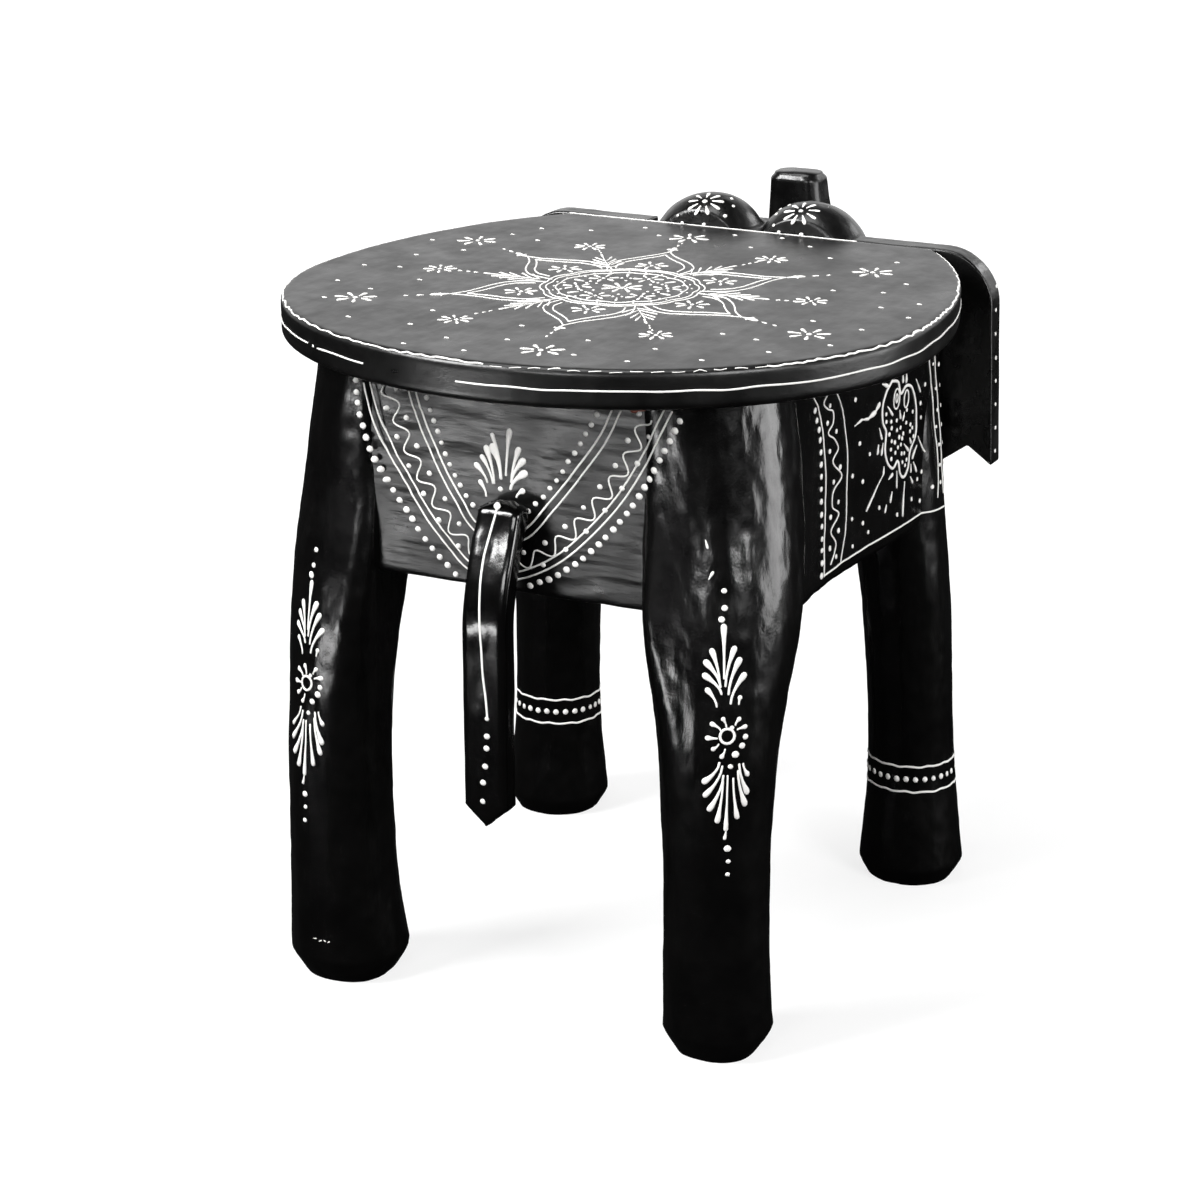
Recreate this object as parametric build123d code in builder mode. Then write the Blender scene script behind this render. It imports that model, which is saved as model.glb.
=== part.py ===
from build123d import *
from math import asin, degrees
import os

# Carved elephant stool, in millimetres. The animal faces -Y and its tail points to +Y, so its left side
# is at +X. Z is up and the feet stand on Z = 0. The origin is under the middle of the overall length.

# Seat board: two half ellipses that meet at the widest line, with a straight front edge
seat_height = 300
seat_width = 287
seat_rear_reach = 130  # widest line to the rear edge
seat_front_axis = 191  # semi-axis of the front curve, before the straight edge cuts it
seat_front_cut = 146  # widest line to the straight front edge
seat_thickness = 17
seat_edge_round = 2.5

# Aprons between the legs
apron_depth = 92
panel_thickness = 18
rump_reach = 88  # widest line to the outer face of the rear apron
flank_inner_inset = 57.5  # seat's widest edge to the inner face of a side apron
flank_rear_inset = 39.5  # and to its outer face beside the rear leg
flank_waist_inset = 41.5
flank_shoulder_inset = 39
flank_front_inset = 43
flank_waist_share = 0.42  # of the apron's length, from its rear end
flank_shoulder_share = 0.75
flank_depth = 93.5  # at the crown of its arched lower edge
flank_rear_drop = 17  # how far that edge falls from the crown to the rear leg
flank_front_drop = 5.5
flank_edge_bevel = 3
apron_bury = 16  # how far an apron blank runs into a leg before it is scribed to it
tenon_length = 10
tenon_thickness = 8
tenon_shoulder = 15  # apron left above and below each tenon

# Legs: the foot's centre, then stations up the leg
rear_foot_inset = 53  # seat's widest edge to the middle of the foot
rear_foot_y = 78  # behind the widest line
front_foot_inset = 49
front_foot_y = 136  # in front of the widest line
foot_bevel = 4.5  # taken off all round, from the lowest station down to the floor

# share of the leg's height, shift towards the middle, shift to the rear, width, depth,
# corner radius, radius of the outer rear corner
rear_leg_stations = [
    (0.03, 0.0, 0.0, 48.4, 48.4, 22.0, 22.0),
    (0.19, 0.0, 3.3, 44.8, 44.8, 20.2, 20.2),
    (0.35, 0.0, 4.6, 43.4, 43.4, 19.5, 19.5),
    (0.51, 0.7, 3.5, 46.2, 46.2, 17.0, 25.0),
    (0.67, 2.0, -2.5, 51.0, 49.0, 11.0, 33.0),
    (0.83, 7.0, -14.5, 55.5, 55.0, 13.0, 33.0),
    (1.00, 12.0, -17.0, 52.0, 56.0, 12.0, 35.0),
]
front_leg_stations = [
    (0.03, 0.0, 0.0, 47.5, 47.5, 23.4, 23.4),
    (0.19, 0.8, 1.0, 40.6, 40.6, 20.0, 20.0),
    (0.35, 2.0, 3.0, 40.0, 40.0, 19.6, 19.6),
    (0.51, 4.3, 6.6, 41.0, 41.0, 19.0, 19.0),
    (0.67, 9.3, 10.0, 42.0, 40.0, 17.0, 17.0),
    (0.83, 13.0, 11.0, 42.0, 39.5, 15.0, 15.0),
    (1.00, 14.5, 11.0, 42.0, 39.5, 14.0, 14.0),
]

# Ears: flat boards with a zigzag lower edge
ear_thickness = 12
ear_top_inset = 22  # seat's widest edge to the ear's outer edge, at its top
ear_tip_inset = 19.5
ear_depth = 99.5  # seat top to the tips of the teeth
ear_tooth_depth = 8.5
ear_teeth = 3
ear_corner_round = 25.5

# Head: half width, depth in front of the chest and straight side, at heights below the seat top
head_half_width = 51
head_stations = [
    (93, 22, 26, 4),
    (78, 32, 38, 8),
    (60, 41, 42, 12),
    (38, 48, 44, 14),
    (16, 51, 43, 14),
    (-3, 47, 34, 12),
]
dome_spacing = 49
dome_radius = 25.8
dome_drop = 13.3  # middle of the dome below the seat top
dome_forward = 16

# Trunk: from a flat on the head it dips, turns up round a bend and ends square
trunk_seat_forward = 36
trunk_root_width = 36
trunk_thickness = 26
bend_forward = 48
bend_inner_radius = 8.5
bend_drop = 42  # centre of the bend below the seat top
trunk_tip_rise = 16.5  # tip above the seat top
trunk_tip_width = 27
trunk_tip_thickness = 20
trunk_tip_forward = 63
trunk_corner = 6.5
trunk_dowel_diameter = 10
trunk_dowel_length = 30

# Tusks
tusk_diameter = 9.5
tusk_tip_diameter = 3.5
tusk_tip_round = 1.2
tusk_shares = (0, 0.3, 0.65, 1)  # of the tusk's length, where its sections stand
tusk_spacing = 50
tusk_drop = 70  # seat top to the middle of the tusk's root
tusk_seat_forward = 24
tusk_length = 42
tusk_lift = 12
tusk_spread = 5
tusk_clearance = 0.3
tusk_pin_diameter = 6
tusk_pin_length = 10

# Tail
tail_width = 20
tail_thickness = 11
tail_top_drop = 67  # seat top to the top of the tail
tail_kick = 27  # rear face of the hanging tail behind the rear apron
tail_tip_height = 96
tail_point = 8.5
tail_root_height = 20  # glued against the rear apron
tail_bend_drop = 45  # top of the tail to where it hangs straight
tail_edge_round = 2
tail_shoulder_slope = (0.35, -1)  # where the outer curve leaves the tail's top
tail_root_slope = (-0.8, 1)  # where the inner curve meets the rear apron
tail_dowel_diameter = 8
tail_dowel_length = 22

# Nails and screws
nail_diameter = 3
nail_head_diameter = 7
nail_head_thickness = 1.5
nail_sink = 1  # heads lie below the surface, under filler and paint
seat_nail_length = 45
rump_nail_x = 24
chest_nail_x = 30
ear_nail_length = 36
ear_nail_places = [(58, 60), (68, 8.5), (86, 8.5)]  # from the middle and below the seat top
screw_diameter = 4.5
screw_head_diameter = 9
screw_head_thickness = 3
screw_length = 45
screw_spacing = 50
screw_drop = 48

# Places worked out from the sizes above
trunk_reach = bend_forward + bend_inner_radius + trunk_thickness
overall_length = seat_rear_reach + seat_front_cut + trunk_reach
widest_y = overall_length / 2 - seat_rear_reach
chest_y = widest_y - seat_front_cut
rump_y = widest_y + rump_reach
leg_height = seat_height - seat_thickness
half_width = seat_width / 2
rear_foot_x = half_width - rear_foot_inset
front_foot_x = half_width - front_foot_inset
tenon_height = apron_depth - 2 * tenon_shoulder
tenon_middle = leg_height - apron_depth / 2


def rods(plane, spots, diameter, length):
    """Round rods that start at a plane and run against its normal."""
    with BuildPart() as run:
        with BuildSketch(plane):
            with Locations(*spots):
                Circle(diameter / 2)
        extrude(amount=-length)
    return run.part


def leg_section(height, x, y, width, depth, corner, outer_corner):
    """A rounded square across a left leg, with its own radius at the outer rear corner."""
    with BuildSketch(Plane.XY.offset(height)) as section:
        with Locations((x, y)):
            Rectangle(width, depth)
        corners = section.vertices().sort_by(Axis((0, 0, 0), (1, 1, 0)))
        fillet(corners[:-1], corner)
        fillet(section.vertices().sort_by(Axis((0, 0, 0), (1, 1, 0)))[-1], outer_corner)
    return section.sketch


def carved_leg(foot_x, foot_y, stations):
    """A left leg, lofted through its stations, with a bevel round the foot."""
    sections = []
    for share, inward, rearward, *shape in stations:
        sections.append(leg_section(share * leg_height, foot_x - inward, foot_y + rearward, *shape))
    foot_size = stations[0][3] - 2 * foot_bevel
    foot_round = stations[0][5] - foot_bevel
    sole = leg_section(0, foot_x, foot_y, foot_size, foot_size, foot_round, foot_round)
    with BuildPart() as leg:
        loft(sections)
        loft([sole, sections[0]], ruled=True)
    return leg.part


def leg_middle(foot_x, foot_y, stations):
    """The middle of a leg's top end."""
    share, inward, rearward, *rest = stations[-1]
    return (foot_x - inward, foot_y + rearward)


# Nails that hold the seat, into each leg's top and into the rear and front aprons
rear_leg_top = leg_middle(rear_foot_x, widest_y + rear_foot_y, rear_leg_stations)
front_leg_top = leg_middle(front_foot_x, widest_y - front_foot_y, front_leg_stations)
apron_nails = [(rump_nail_x, rump_y - panel_thickness / 2), (chest_nail_x, chest_y + panel_thickness / 2)]
seat_nail_spots = [(side * x, y) for side in (-1, 1) for x, y in [rear_leg_top, front_leg_top, *apron_nails]]
seat_top = Plane.XY.offset(seat_height)
with BuildPart() as seat_nails:
    add(rods(seat_top.offset(-nail_sink), seat_nail_spots, nail_diameter, seat_nail_length))
    add(rods(seat_top.offset(-nail_sink), seat_nail_spots, nail_head_diameter, nail_head_thickness))

# Nails that hold the ears: two into the seat's edge and one below them, into the chest
ear_nail_spots = [(side * x, seat_height - drop) for side in (-1, 1) for x, drop in ear_nail_places]
ear_front = Plane.front.offset(ear_thickness - chest_y)
with BuildPart() as ear_nails:
    add(rods(ear_front.offset(-nail_sink), ear_nail_spots, nail_diameter, ear_nail_length))
    add(rods(ear_front.offset(-nail_sink), ear_nail_spots, nail_head_diameter, nail_head_thickness))

# Screws from behind the chest board into the head
screw_spots = [(side * screw_spacing / 2, seat_height - screw_drop) for side in (-1, 1)]
chest_back = Plane.back.offset(chest_y + panel_thickness)
with BuildPart() as head_screws:
    add(rods(chest_back, screw_spots, screw_diameter, screw_length))
    add(rods(chest_back, screw_spots, screw_head_diameter, screw_head_thickness))

# Seat board
cut_angle = degrees(asin(seat_front_cut / seat_front_axis))
with BuildPart() as seat_board:
    with BuildSketch(seat_top):
        with BuildLine():
            EllipticalCenterArc((0, widest_y), half_width, seat_rear_reach, 0, arc_size=90)
            front_edge = EllipticalCenterArc((0, widest_y), half_width, seat_front_axis, -cut_angle,
                                             arc_size=cut_angle)
            Line(front_edge @ 0, (0, chest_y))
            mirror(about=Plane.YZ)
        make_face()
    extrude(amount=-seat_thickness)
    rims = seat_board.faces().filter_by(Axis.Z)
    fillet(rims.edges().filter_by(Axis.X, reverse=True), seat_edge_round)
    add([seat_nails.part, ear_nails.part], mode=Mode.SUBTRACT)
    add(rods(seat_top, seat_nail_spots, nail_head_diameter, nail_sink), mode=Mode.SUBTRACT)

# Leg blanks, before their mortises are cut
rear_leg_blank = carved_leg(rear_foot_x, widest_y + rear_foot_y, rear_leg_stations)
front_leg_blank = carved_leg(front_foot_x, widest_y - front_foot_y, front_leg_stations)


def cross_apron(outer_y, inward, leg_blank, leg_top, leg_width):
    """An apron across the stool, scribed to two legs, with a tongue that makes both tenons."""
    half_length = leg_top[0] - leg_width / 2 + apron_bury
    middle_y = outer_y + inward * panel_thickness / 2
    with BuildPart() as tongue:
        with Locations((0, middle_y, tenon_middle)):
            Box(2 * (half_length + tenon_length), tenon_thickness, tenon_height)
    with BuildPart() as apron:
        with Locations((0, middle_y, leg_height - apron_depth / 2)):
            Box(2 * half_length, panel_thickness, apron_depth)
        add(leg_blank, mode=Mode.SUBTRACT)
        mirror(leg_blank, about=Plane.YZ, mode=Mode.SUBTRACT)
        add(tongue.part)
        add(seat_nails.part, mode=Mode.SUBTRACT)
    return apron.part, tongue.part


rear_apron, rear_tongue = cross_apron(rump_y, -1, rear_leg_blank, rear_leg_top, rear_leg_stations[-1][3])
front_apron, front_tongue = cross_apron(chest_y, 1, front_leg_blank, front_leg_top, front_leg_stations[-1][3])

# Tail: a strip that kicks away from the rump and hangs, with a pointed end
tail_top = seat_height - tail_top_drop
tail_straight = tail_top - tail_bend_drop
with BuildPart() as tail_dowel:
    with BuildSketch(Plane.back.offset(rump_y)):
        with Locations((0, tail_top - tail_root_height / 2)):
            Circle(tail_dowel_diameter / 2)
    extrude(amount=tail_dowel_length / 2, both=True)

with BuildPart() as tail:
    with BuildSketch(Plane.YZ):
        with BuildLine():
            glued = Line((rump_y, tail_top - tail_root_height), (rump_y, tail_top))
            shoulder = Line(glued @ 1, (rump_y + tail_thickness, tail_top))
            outer = Spline(shoulder @ 1, (rump_y + tail_kick, tail_straight),
                           tangents=[tail_shoulder_slope, (0, -1)])
            hang = Line(outer @ 1, (rump_y + tail_kick, tail_tip_height))
            sole = Line(hang @ 1, (rump_y + tail_kick - tail_thickness, tail_tip_height))
            rise = Line(sole @ 1, (rump_y + tail_kick - tail_thickness, tail_straight - tail_root_height))
            Spline(rise @ 1, glued @ 0, tangents=[(0, 1), tail_root_slope])
        make_face()
    extrude(amount=tail_width / 2, both=True)
    with BuildSketch(Plane.XZ):
        with BuildLine():
            Polyline((0, tail_tip_height), (tail_width / 2, tail_tip_height),
                     (tail_width / 2, tail_tip_height + tail_point), close=True)
        make_face()
        mirror(about=Plane.YZ)
    extrude(amount=-overall_length, mode=Mode.SUBTRACT)
    long_edges = tail.faces().filter_by(Axis.X).edges().filter_by(GeomType.LINE, reverse=True)
    fillet(long_edges, tail_edge_round)
    add(tail_dowel.part, mode=Mode.SUBTRACT)

with BuildPart() as rear_panel:
    add(rear_apron)
    add(tail_dowel.part, mode=Mode.SUBTRACT)

with BuildPart() as front_panel:
    add(front_apron)
    add([head_screws.part, ear_nails.part], mode=Mode.SUBTRACT)

# Side aprons: waisted outside, arched below, bevelled along the arch and scribed to the legs
flank_rear_y = rear_leg_top[1] - rear_leg_stations[-1][4] / 2 + apron_bury
flank_front_y = front_leg_top[1] + front_leg_stations[-1][4] / 2 - apron_bury
flank_span = flank_rear_y - flank_front_y
flank_inner_x = half_width - flank_inner_inset
arch_crown = leg_height - flank_depth
with BuildPart() as flank_tongue:
    with Locations((flank_inner_x + tenon_thickness, (flank_rear_y + flank_front_y) / 2, tenon_middle)):
        Box(tenon_thickness, flank_span + 2 * tenon_length, tenon_height)

with BuildPart() as left_side_panel:
    with BuildSketch(Plane.XY.offset(leg_height)):
        with BuildLine():
            outside = Spline((half_width - flank_rear_inset, flank_rear_y),
                             (half_width - flank_waist_inset, flank_rear_y - flank_waist_share * flank_span),
                             (half_width - flank_shoulder_inset, flank_rear_y - flank_shoulder_share * flank_span),
                             (half_width - flank_front_inset, flank_front_y))
            Polyline(outside @ 1, (flank_inner_x, flank_front_y), (flank_inner_x, flank_rear_y), outside @ 0)
        make_face()
    extrude(amount=-flank_depth - flank_rear_drop - flank_front_drop)
    with BuildSketch(Plane.YZ):
        with BuildLine():
            arch = ThreePointArc((flank_rear_y, arch_crown - flank_rear_drop),
                                 (flank_rear_y - flank_span / 2, arch_crown),
                                 (flank_front_y, arch_crown - flank_front_drop))
            Polyline(arch @ 1, (flank_front_y, 0), (flank_rear_y, 0), arch @ 0)
        make_face()
    extrude(amount=seat_width, mode=Mode.SUBTRACT)
    arch_face = left_side_panel.faces().sort_by(Axis.Z)[0]
    chamfer(arch_face.edges().sort_by(Axis.X)[-1], flank_edge_bevel)
    add([rear_leg_blank, front_leg_blank], mode=Mode.SUBTRACT)
    add(flank_tongue.part)

with BuildPart() as right_side_panel:
    mirror(left_side_panel.part, about=Plane.YZ)

# Legs
with BuildPart() as rear_left_leg:
    add(rear_leg_blank)
    add([rear_tongue, flank_tongue.part, seat_nails.part], mode=Mode.SUBTRACT)

with BuildPart() as front_left_leg:
    add(front_leg_blank)
    add([front_tongue, flank_tongue.part, seat_nails.part, ear_nails.part], mode=Mode.SUBTRACT)

with BuildPart() as rear_right_leg:
    mirror(rear_left_leg.part, about=Plane.YZ)

with BuildPart() as front_right_leg:
    mirror(front_left_leg.part, about=Plane.YZ)

# Ears
ear_bottom = seat_height - ear_depth
ear_top_x = half_width - ear_top_inset
ear_tip_x = half_width - ear_tip_inset
tooth_pitch = (ear_tip_x - head_half_width) / ear_teeth
zigzag = [(ear_tip_x, ear_bottom)]
for tooth in range(ear_teeth):
    tooth_x = ear_tip_x - tooth * tooth_pitch
    zigzag.append((tooth_x - tooth_pitch / 2, ear_bottom + ear_tooth_depth))
    zigzag.append((tooth_x - tooth_pitch, ear_bottom))
with BuildPart() as left_ear:
    with BuildSketch(Plane.front.offset(-chest_y)) as ear_outline:
        with BuildLine():
            Polyline((head_half_width, seat_height), (ear_top_x, seat_height), *zigzag, close=True)
        make_face()
        fillet(ear_outline.vertices().sort_by(Axis((0, 0, 0), (1, 1, 0)))[-1], ear_corner_round)
    extrude(amount=ear_thickness)
    add(ear_nails.part, mode=Mode.SUBTRACT)
    add(rods(ear_front, ear_nail_spots, nail_head_diameter, nail_sink), mode=Mode.SUBTRACT)

with BuildPart() as right_ear:
    mirror(left_ear.part, about=Plane.YZ)

# Trunk: out from the head, round the bend and up to its square tip
bend_y = chest_y - bend_forward
bend_z = seat_height - bend_drop
bend_radius = bend_inner_radius + trunk_thickness / 2
trunk_root_y = chest_y - trunk_seat_forward
trunk_root_z = bend_z - bend_radius
tip_z = seat_height + trunk_tip_rise

with BuildPart() as trunk_dowel:
    with BuildSketch(Plane.front.offset(-trunk_root_y)):
        with Locations((0, trunk_root_z)):
            Circle(trunk_dowel_diameter / 2)
    extrude(amount=trunk_dowel_length / 2, both=True)

with BuildPart() as trunk:
    with BuildSketch(Plane.front.offset(-bend_y)) as low_end:
        with Locations((0, trunk_root_z)):
            RectangleRounded(trunk_root_width, trunk_thickness, trunk_corner)
    extrude(amount=bend_y - trunk_root_y)
    revolve(low_end.sketch, axis=Axis((0, bend_y, bend_z), (-1, 0, 0)), revolution_arc=90)
    with BuildSketch(Plane.XY.offset(bend_z)) as bend_end:
        with Locations((0, bend_y - bend_radius)):
            RectangleRounded(trunk_root_width, trunk_thickness, trunk_corner)
    with BuildSketch(Plane.XY.offset(tip_z)) as tip_end:
        with Locations((0, chest_y - trunk_tip_forward)):
            RectangleRounded(trunk_tip_width, trunk_tip_thickness, trunk_corner)
    loft([bend_end.sketch, tip_end.sketch])
    add(trunk_dowel.part, mode=Mode.SUBTRACT)

# Tusks: a straight root in the head's socket, then a slim horn that rises and spreads
tusk_y = chest_y - tusk_seat_forward
tusk_z = seat_height - tusk_drop
with BuildPart() as left_tusk:
    for share in tusk_shares:
        tusk_x = tusk_spacing / 2 + tusk_spread * share**2
        place = (tusk_x, tusk_y - tusk_length * share, tusk_z + tusk_lift * share**2)
        slope = 2 * share / tusk_length
        with BuildSketch(Plane(place, x_dir=(1, 0, 0), z_dir=(tusk_spread * slope, -1, tusk_lift * slope))):
            Circle((tusk_diameter + share * (tusk_tip_diameter - tusk_diameter)) / 2)
    loft()
    fillet(left_tusk.edges().sort_by(Axis.Y)[0], tusk_tip_round)
    with BuildSketch(Plane.back.offset(tusk_y)):
        with Locations((-tusk_spacing / 2, tusk_z)):
            Circle(tusk_pin_diameter / 2)
    extrude(amount=tusk_pin_length)

with BuildPart() as right_tusk:
    mirror(left_tusk.part, about=Plane.YZ)

# Head: lofted block with a flat back, two domes on its forehead and the trunk's seat
with BuildPart() as head:
    for drop, side_reach, reach, side in head_stations:
        with BuildSketch(Plane.XY.offset(seat_height - drop)):
            with BuildLine():
                brow = EllipticalCenterArc((0, chest_y - side), side_reach, reach - side, 180, arc_size=180)
                Polyline(brow @ 1, (side_reach, chest_y), (-side_reach, chest_y), brow @ 0)
            make_face()
    loft(ruled=True)
    with Locations((dome_spacing / 2, chest_y - dome_forward, seat_height - dome_drop),
                   (-dome_spacing / 2, chest_y - dome_forward, seat_height - dome_drop)):
        Sphere(dome_radius)
    split(bisect_by=Plane.XZ.offset(-chest_y), keep=Keep.TOP)
    with Locations((0, trunk_root_y, trunk_root_z)):
        Box(trunk_root_width + 2 * tusk_clearance, head_half_width, trunk_thickness + 2 * tusk_clearance,
            align=(Align.CENTER, Align.MAX, Align.CENTER), mode=Mode.SUBTRACT)
    with BuildSketch(Plane.front.offset(-tusk_y)):
        with Locations((-tusk_spacing / 2, tusk_z), (tusk_spacing / 2, tusk_z)):
            Circle(tusk_diameter / 2 + tusk_clearance)
    extrude(amount=tusk_length, mode=Mode.SUBTRACT)
    add([trunk_dowel.part, left_tusk.part, right_tusk.part, head_screws.part], mode=Mode.SUBTRACT)

finished = {
    "seat_board": seat_board, "rear_panel": rear_panel, "front_panel": front_panel,
    "left_side_panel": left_side_panel, "right_side_panel": right_side_panel,
    "rear_left_leg": rear_left_leg, "rear_right_leg": rear_right_leg,
    "front_left_leg": front_left_leg, "front_right_leg": front_right_leg,
    "tail": tail, "tail_dowel": tail_dowel, "left_ear": left_ear, "right_ear": right_ear,
    "head": head, "trunk": trunk, "trunk_dowel": trunk_dowel,
    "left_tusk": left_tusk, "right_tusk": right_tusk,
    "seat_nails": seat_nails, "ear_nails": ear_nails, "head_screws": head_screws,
}
os.makedirs("parts", exist_ok=True)
for name, piece in finished.items():
    piece.part.label = name
    export_step(piece.part, f"parts/{name}.step")
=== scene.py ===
import itertools
import math

import bpy
import numpy as np
from mathutils import Matrix, Vector


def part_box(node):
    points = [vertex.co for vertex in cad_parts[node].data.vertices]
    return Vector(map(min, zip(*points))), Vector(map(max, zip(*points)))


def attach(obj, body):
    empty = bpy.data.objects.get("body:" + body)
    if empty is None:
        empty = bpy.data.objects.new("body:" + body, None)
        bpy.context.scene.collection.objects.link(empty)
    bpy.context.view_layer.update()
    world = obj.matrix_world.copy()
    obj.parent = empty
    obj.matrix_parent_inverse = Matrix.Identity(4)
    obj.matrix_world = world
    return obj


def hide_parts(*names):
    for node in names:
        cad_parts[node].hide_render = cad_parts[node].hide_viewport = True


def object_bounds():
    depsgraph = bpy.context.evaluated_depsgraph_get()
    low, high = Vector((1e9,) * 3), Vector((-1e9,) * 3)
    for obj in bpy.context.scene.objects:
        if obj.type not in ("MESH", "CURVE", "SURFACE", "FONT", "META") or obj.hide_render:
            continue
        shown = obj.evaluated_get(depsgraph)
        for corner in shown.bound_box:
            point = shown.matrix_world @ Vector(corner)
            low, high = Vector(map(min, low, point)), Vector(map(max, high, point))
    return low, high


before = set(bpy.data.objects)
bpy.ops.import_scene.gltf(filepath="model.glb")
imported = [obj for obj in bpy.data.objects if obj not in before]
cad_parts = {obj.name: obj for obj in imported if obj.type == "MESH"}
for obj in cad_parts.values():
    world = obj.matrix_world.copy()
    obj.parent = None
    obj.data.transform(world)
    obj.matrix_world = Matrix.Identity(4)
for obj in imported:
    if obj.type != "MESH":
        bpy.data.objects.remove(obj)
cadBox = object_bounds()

mm = 0.001
seatLow, seatHigh = (np.array(corner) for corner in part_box("seat_board"))
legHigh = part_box("rear_left_leg")[1].z
chestY = seatLow[1]
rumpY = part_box("rear_panel")[1].y
seatRearReach = 130 * mm
widestY = seatHigh[1] - seatRearReach


# Lattice noise: random values at the corners of cells of this size, blended with smoothstep.
def noise(points, size, seed):
    cell = points / (np.asarray(size, float) * mm)
    low = np.floor(cell).astype(int)
    part = cell - low
    part = part * part * (3 - 2 * part)
    table = np.random.default_rng(seed).uniform(-1, 1, (64, 64, 64))
    total = np.zeros(points.shape[:-1])
    for corner in itertools.product((0, 1), repeat=3):
        share = np.prod(np.where(corner, part, 1 - part), axis=-1)
        i, j, k = np.moveaxis((low + corner) % 64, -1, 0)
        total += share * table[i, j, k]
    return total


# Smooth curve through knots: cubic pieces whose slopes are the knots' central differences.
def smooth(at, knots, values):
    at, knots, values = np.asarray(at, float), np.asarray(knots, float), np.asarray(values, float)
    slopes = np.gradient(values, knots, axis=0)
    i = np.clip(np.searchsorted(knots, at) - 1, 0, len(knots) - 2)
    step = knots[i + 1] - knots[i]
    t = np.clip((at - knots[i]) / step, 0, 1)
    if values.ndim > 1:
        t, step = t[..., None], step[..., None]
    start, end = values[i], values[i + 1]
    rise = start + (end - start) * t * t * (3 - 2 * t)
    return rise + step * t * (1 - t) * (slopes[i] * (1 - t) - slopes[i + 1] * t)


# One row of turns round a full circle
def evenTurns(count):
    return np.linspace(0, 2 * np.pi, count, endpoint=False)[None, :]


# Distance from a rounded rectangle's middle to its edge: the nearer side, cut back to the corner's circle.
def reach(c, s, halfX, halfY, corners):
    distance = np.minimum(halfX / np.maximum(abs(c), 1e-9), halfY / np.maximum(abs(s), 1e-9))
    for sideX, sideY, radius in corners:
        middleX, middleY = sideX * (halfX - radius), sideY * (halfY - radius)
        beyond = (sideX * (distance * c - middleX) > 0) & (sideY * (distance * s - middleY) > 0)
        along = c * middleX + s * middleY
        arc = along + np.sqrt(np.maximum(along**2 - middleX**2 - middleY**2 + radius**2, 0))
        distance = np.where(beyond, np.minimum(distance, arc), distance)
    return distance


# The four corners of a section, all of one radius
def evenCorners(radius):
    return [(a, b, radius) for a in (-1, 1) for b in (-1, 1)]


# Unit normals of a grid: the cross product of its two central differences.
def gridNormals(grid):
    down = np.gradient(grid, axis=0)
    across = np.roll(grid, -1, axis=1) - np.roll(grid, 1, axis=1)
    normal = np.cross(down, across)
    return normal / np.maximum(np.linalg.norm(normal, axis=-1, keepdims=True), 1e-12)


# Hand carving: a sum of noise layers, each a cell in mm, a seed and a height in mm, sunk by a little.
def carving(sink, *layers):
    def rough(points):
        return (sum(noise(points, cell, seed) * height for cell, seed, height in layers) - sink) * mm
    return rough


# Six times the volume inside a grid, by the triple products of its triangles; negative if it is inside out.
def signedVolume(grid):
    following = np.roll(grid, -1, axis=1)
    first = np.einsum("...i,...i", grid[:-1], np.cross(grid[1:], following[1:]))
    second = np.einsum("...i,...i", grid[:-1], np.cross(following[1:], following[:-1]))
    return (first + second).sum()


# Moves each point of a grid along its outward normal by rough(point).
def carved(grid, rough):
    normal = gridNormals(grid)
    outward = np.sign(np.einsum("...i,...i", normal, grid - grid.mean(axis=(0, 1))).sum())
    return grid + normal * outward * rough(grid)[..., None]


materials = {}


def pieceName(node):
    return node.title().replace("_", "")


# Quads between rows of point numbers, each row closed on itself, and one face over each end row
def tubeFaces(index):
    following = np.roll(index, -1, axis=1)
    quads = np.stack([index[:-1], index[1:], following[1:], following[:-1]], -1).reshape(-1, 4)
    return quads.tolist() + [index[0].tolist(), index[-1][::-1].tolist()]


# A grid becomes a closed mesh, turned the right way out.
def gridPiece(name, grid, material, node=None):
    faces = tubeFaces(np.arange(grid[..., 0].size).reshape(grid.shape[:2]))
    if signedVolume(grid) < 0:
        faces = [face[::-1] for face in faces]
    return meshPiece(name, grid.reshape(-1, 3), faces, material, node)


def newObject(name, data):
    made = bpy.data.objects.new(name, data)
    bpy.context.scene.collection.objects.link(made)
    return made


# A closed mesh of points and faces, which rides the stool's body and may stand in for a plain solid
def meshPiece(name, points, faces, material, node=None):
    mesh = bpy.data.meshes.new(name)
    mesh.from_pydata(points.tolist(), [], faces)
    mesh.shade_smooth()
    mesh.update()
    piece = newObject(name, mesh)
    piece.data.materials.append(materials[material])
    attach(piece, "root")
    if node:
        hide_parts(node)
    return piece


# A place function for painting: the base surface, moved along its normal by its roughness and a lift.
def surface(base, rough, outward=1):
    def place(a, b, lift=0):
        step = 0.2 * mm
        point = base(a, b)
        normal = np.cross(base(a + step, b) - base(a - step, b), base(a, b + step) - base(a, b - step))
        normal *= outward / np.maximum(np.linalg.norm(normal, axis=-1, keepdims=True), 1e-15)
        return point + normal * (rough(point) + lift)[..., None]
    return place


# The node tree of a material or world, emptied
def emptyTree(owner):
    owner.use_nodes = True
    owner.node_tree.nodes.clear()
    return owner.node_tree


# One shader node of this kind: its settings, then each input linked to a socket or set to a value
def nodeIn(tree, kind, inputs=None, **settings):
    made = tree.nodes.new("ShaderNode" + kind)
    for key, value in settings.items():
        setattr(made, key, value)
    for key, value in (inputs or {}).items():
        if isinstance(value, bpy.types.NodeSocket):
            tree.links.new(value, made.inputs[key])
        else:
            made.inputs[key].default_value = value
    return made


# A value carried evenly from one range to another
def ranged(tree, value, low, high, start, end):
    inputs = {"Value": value, "From Min": low, "From Max": high, "To Min": start, "To Max": end}
    return nodeIn(tree, "MapRange", inputs).outputs[0]


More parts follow.
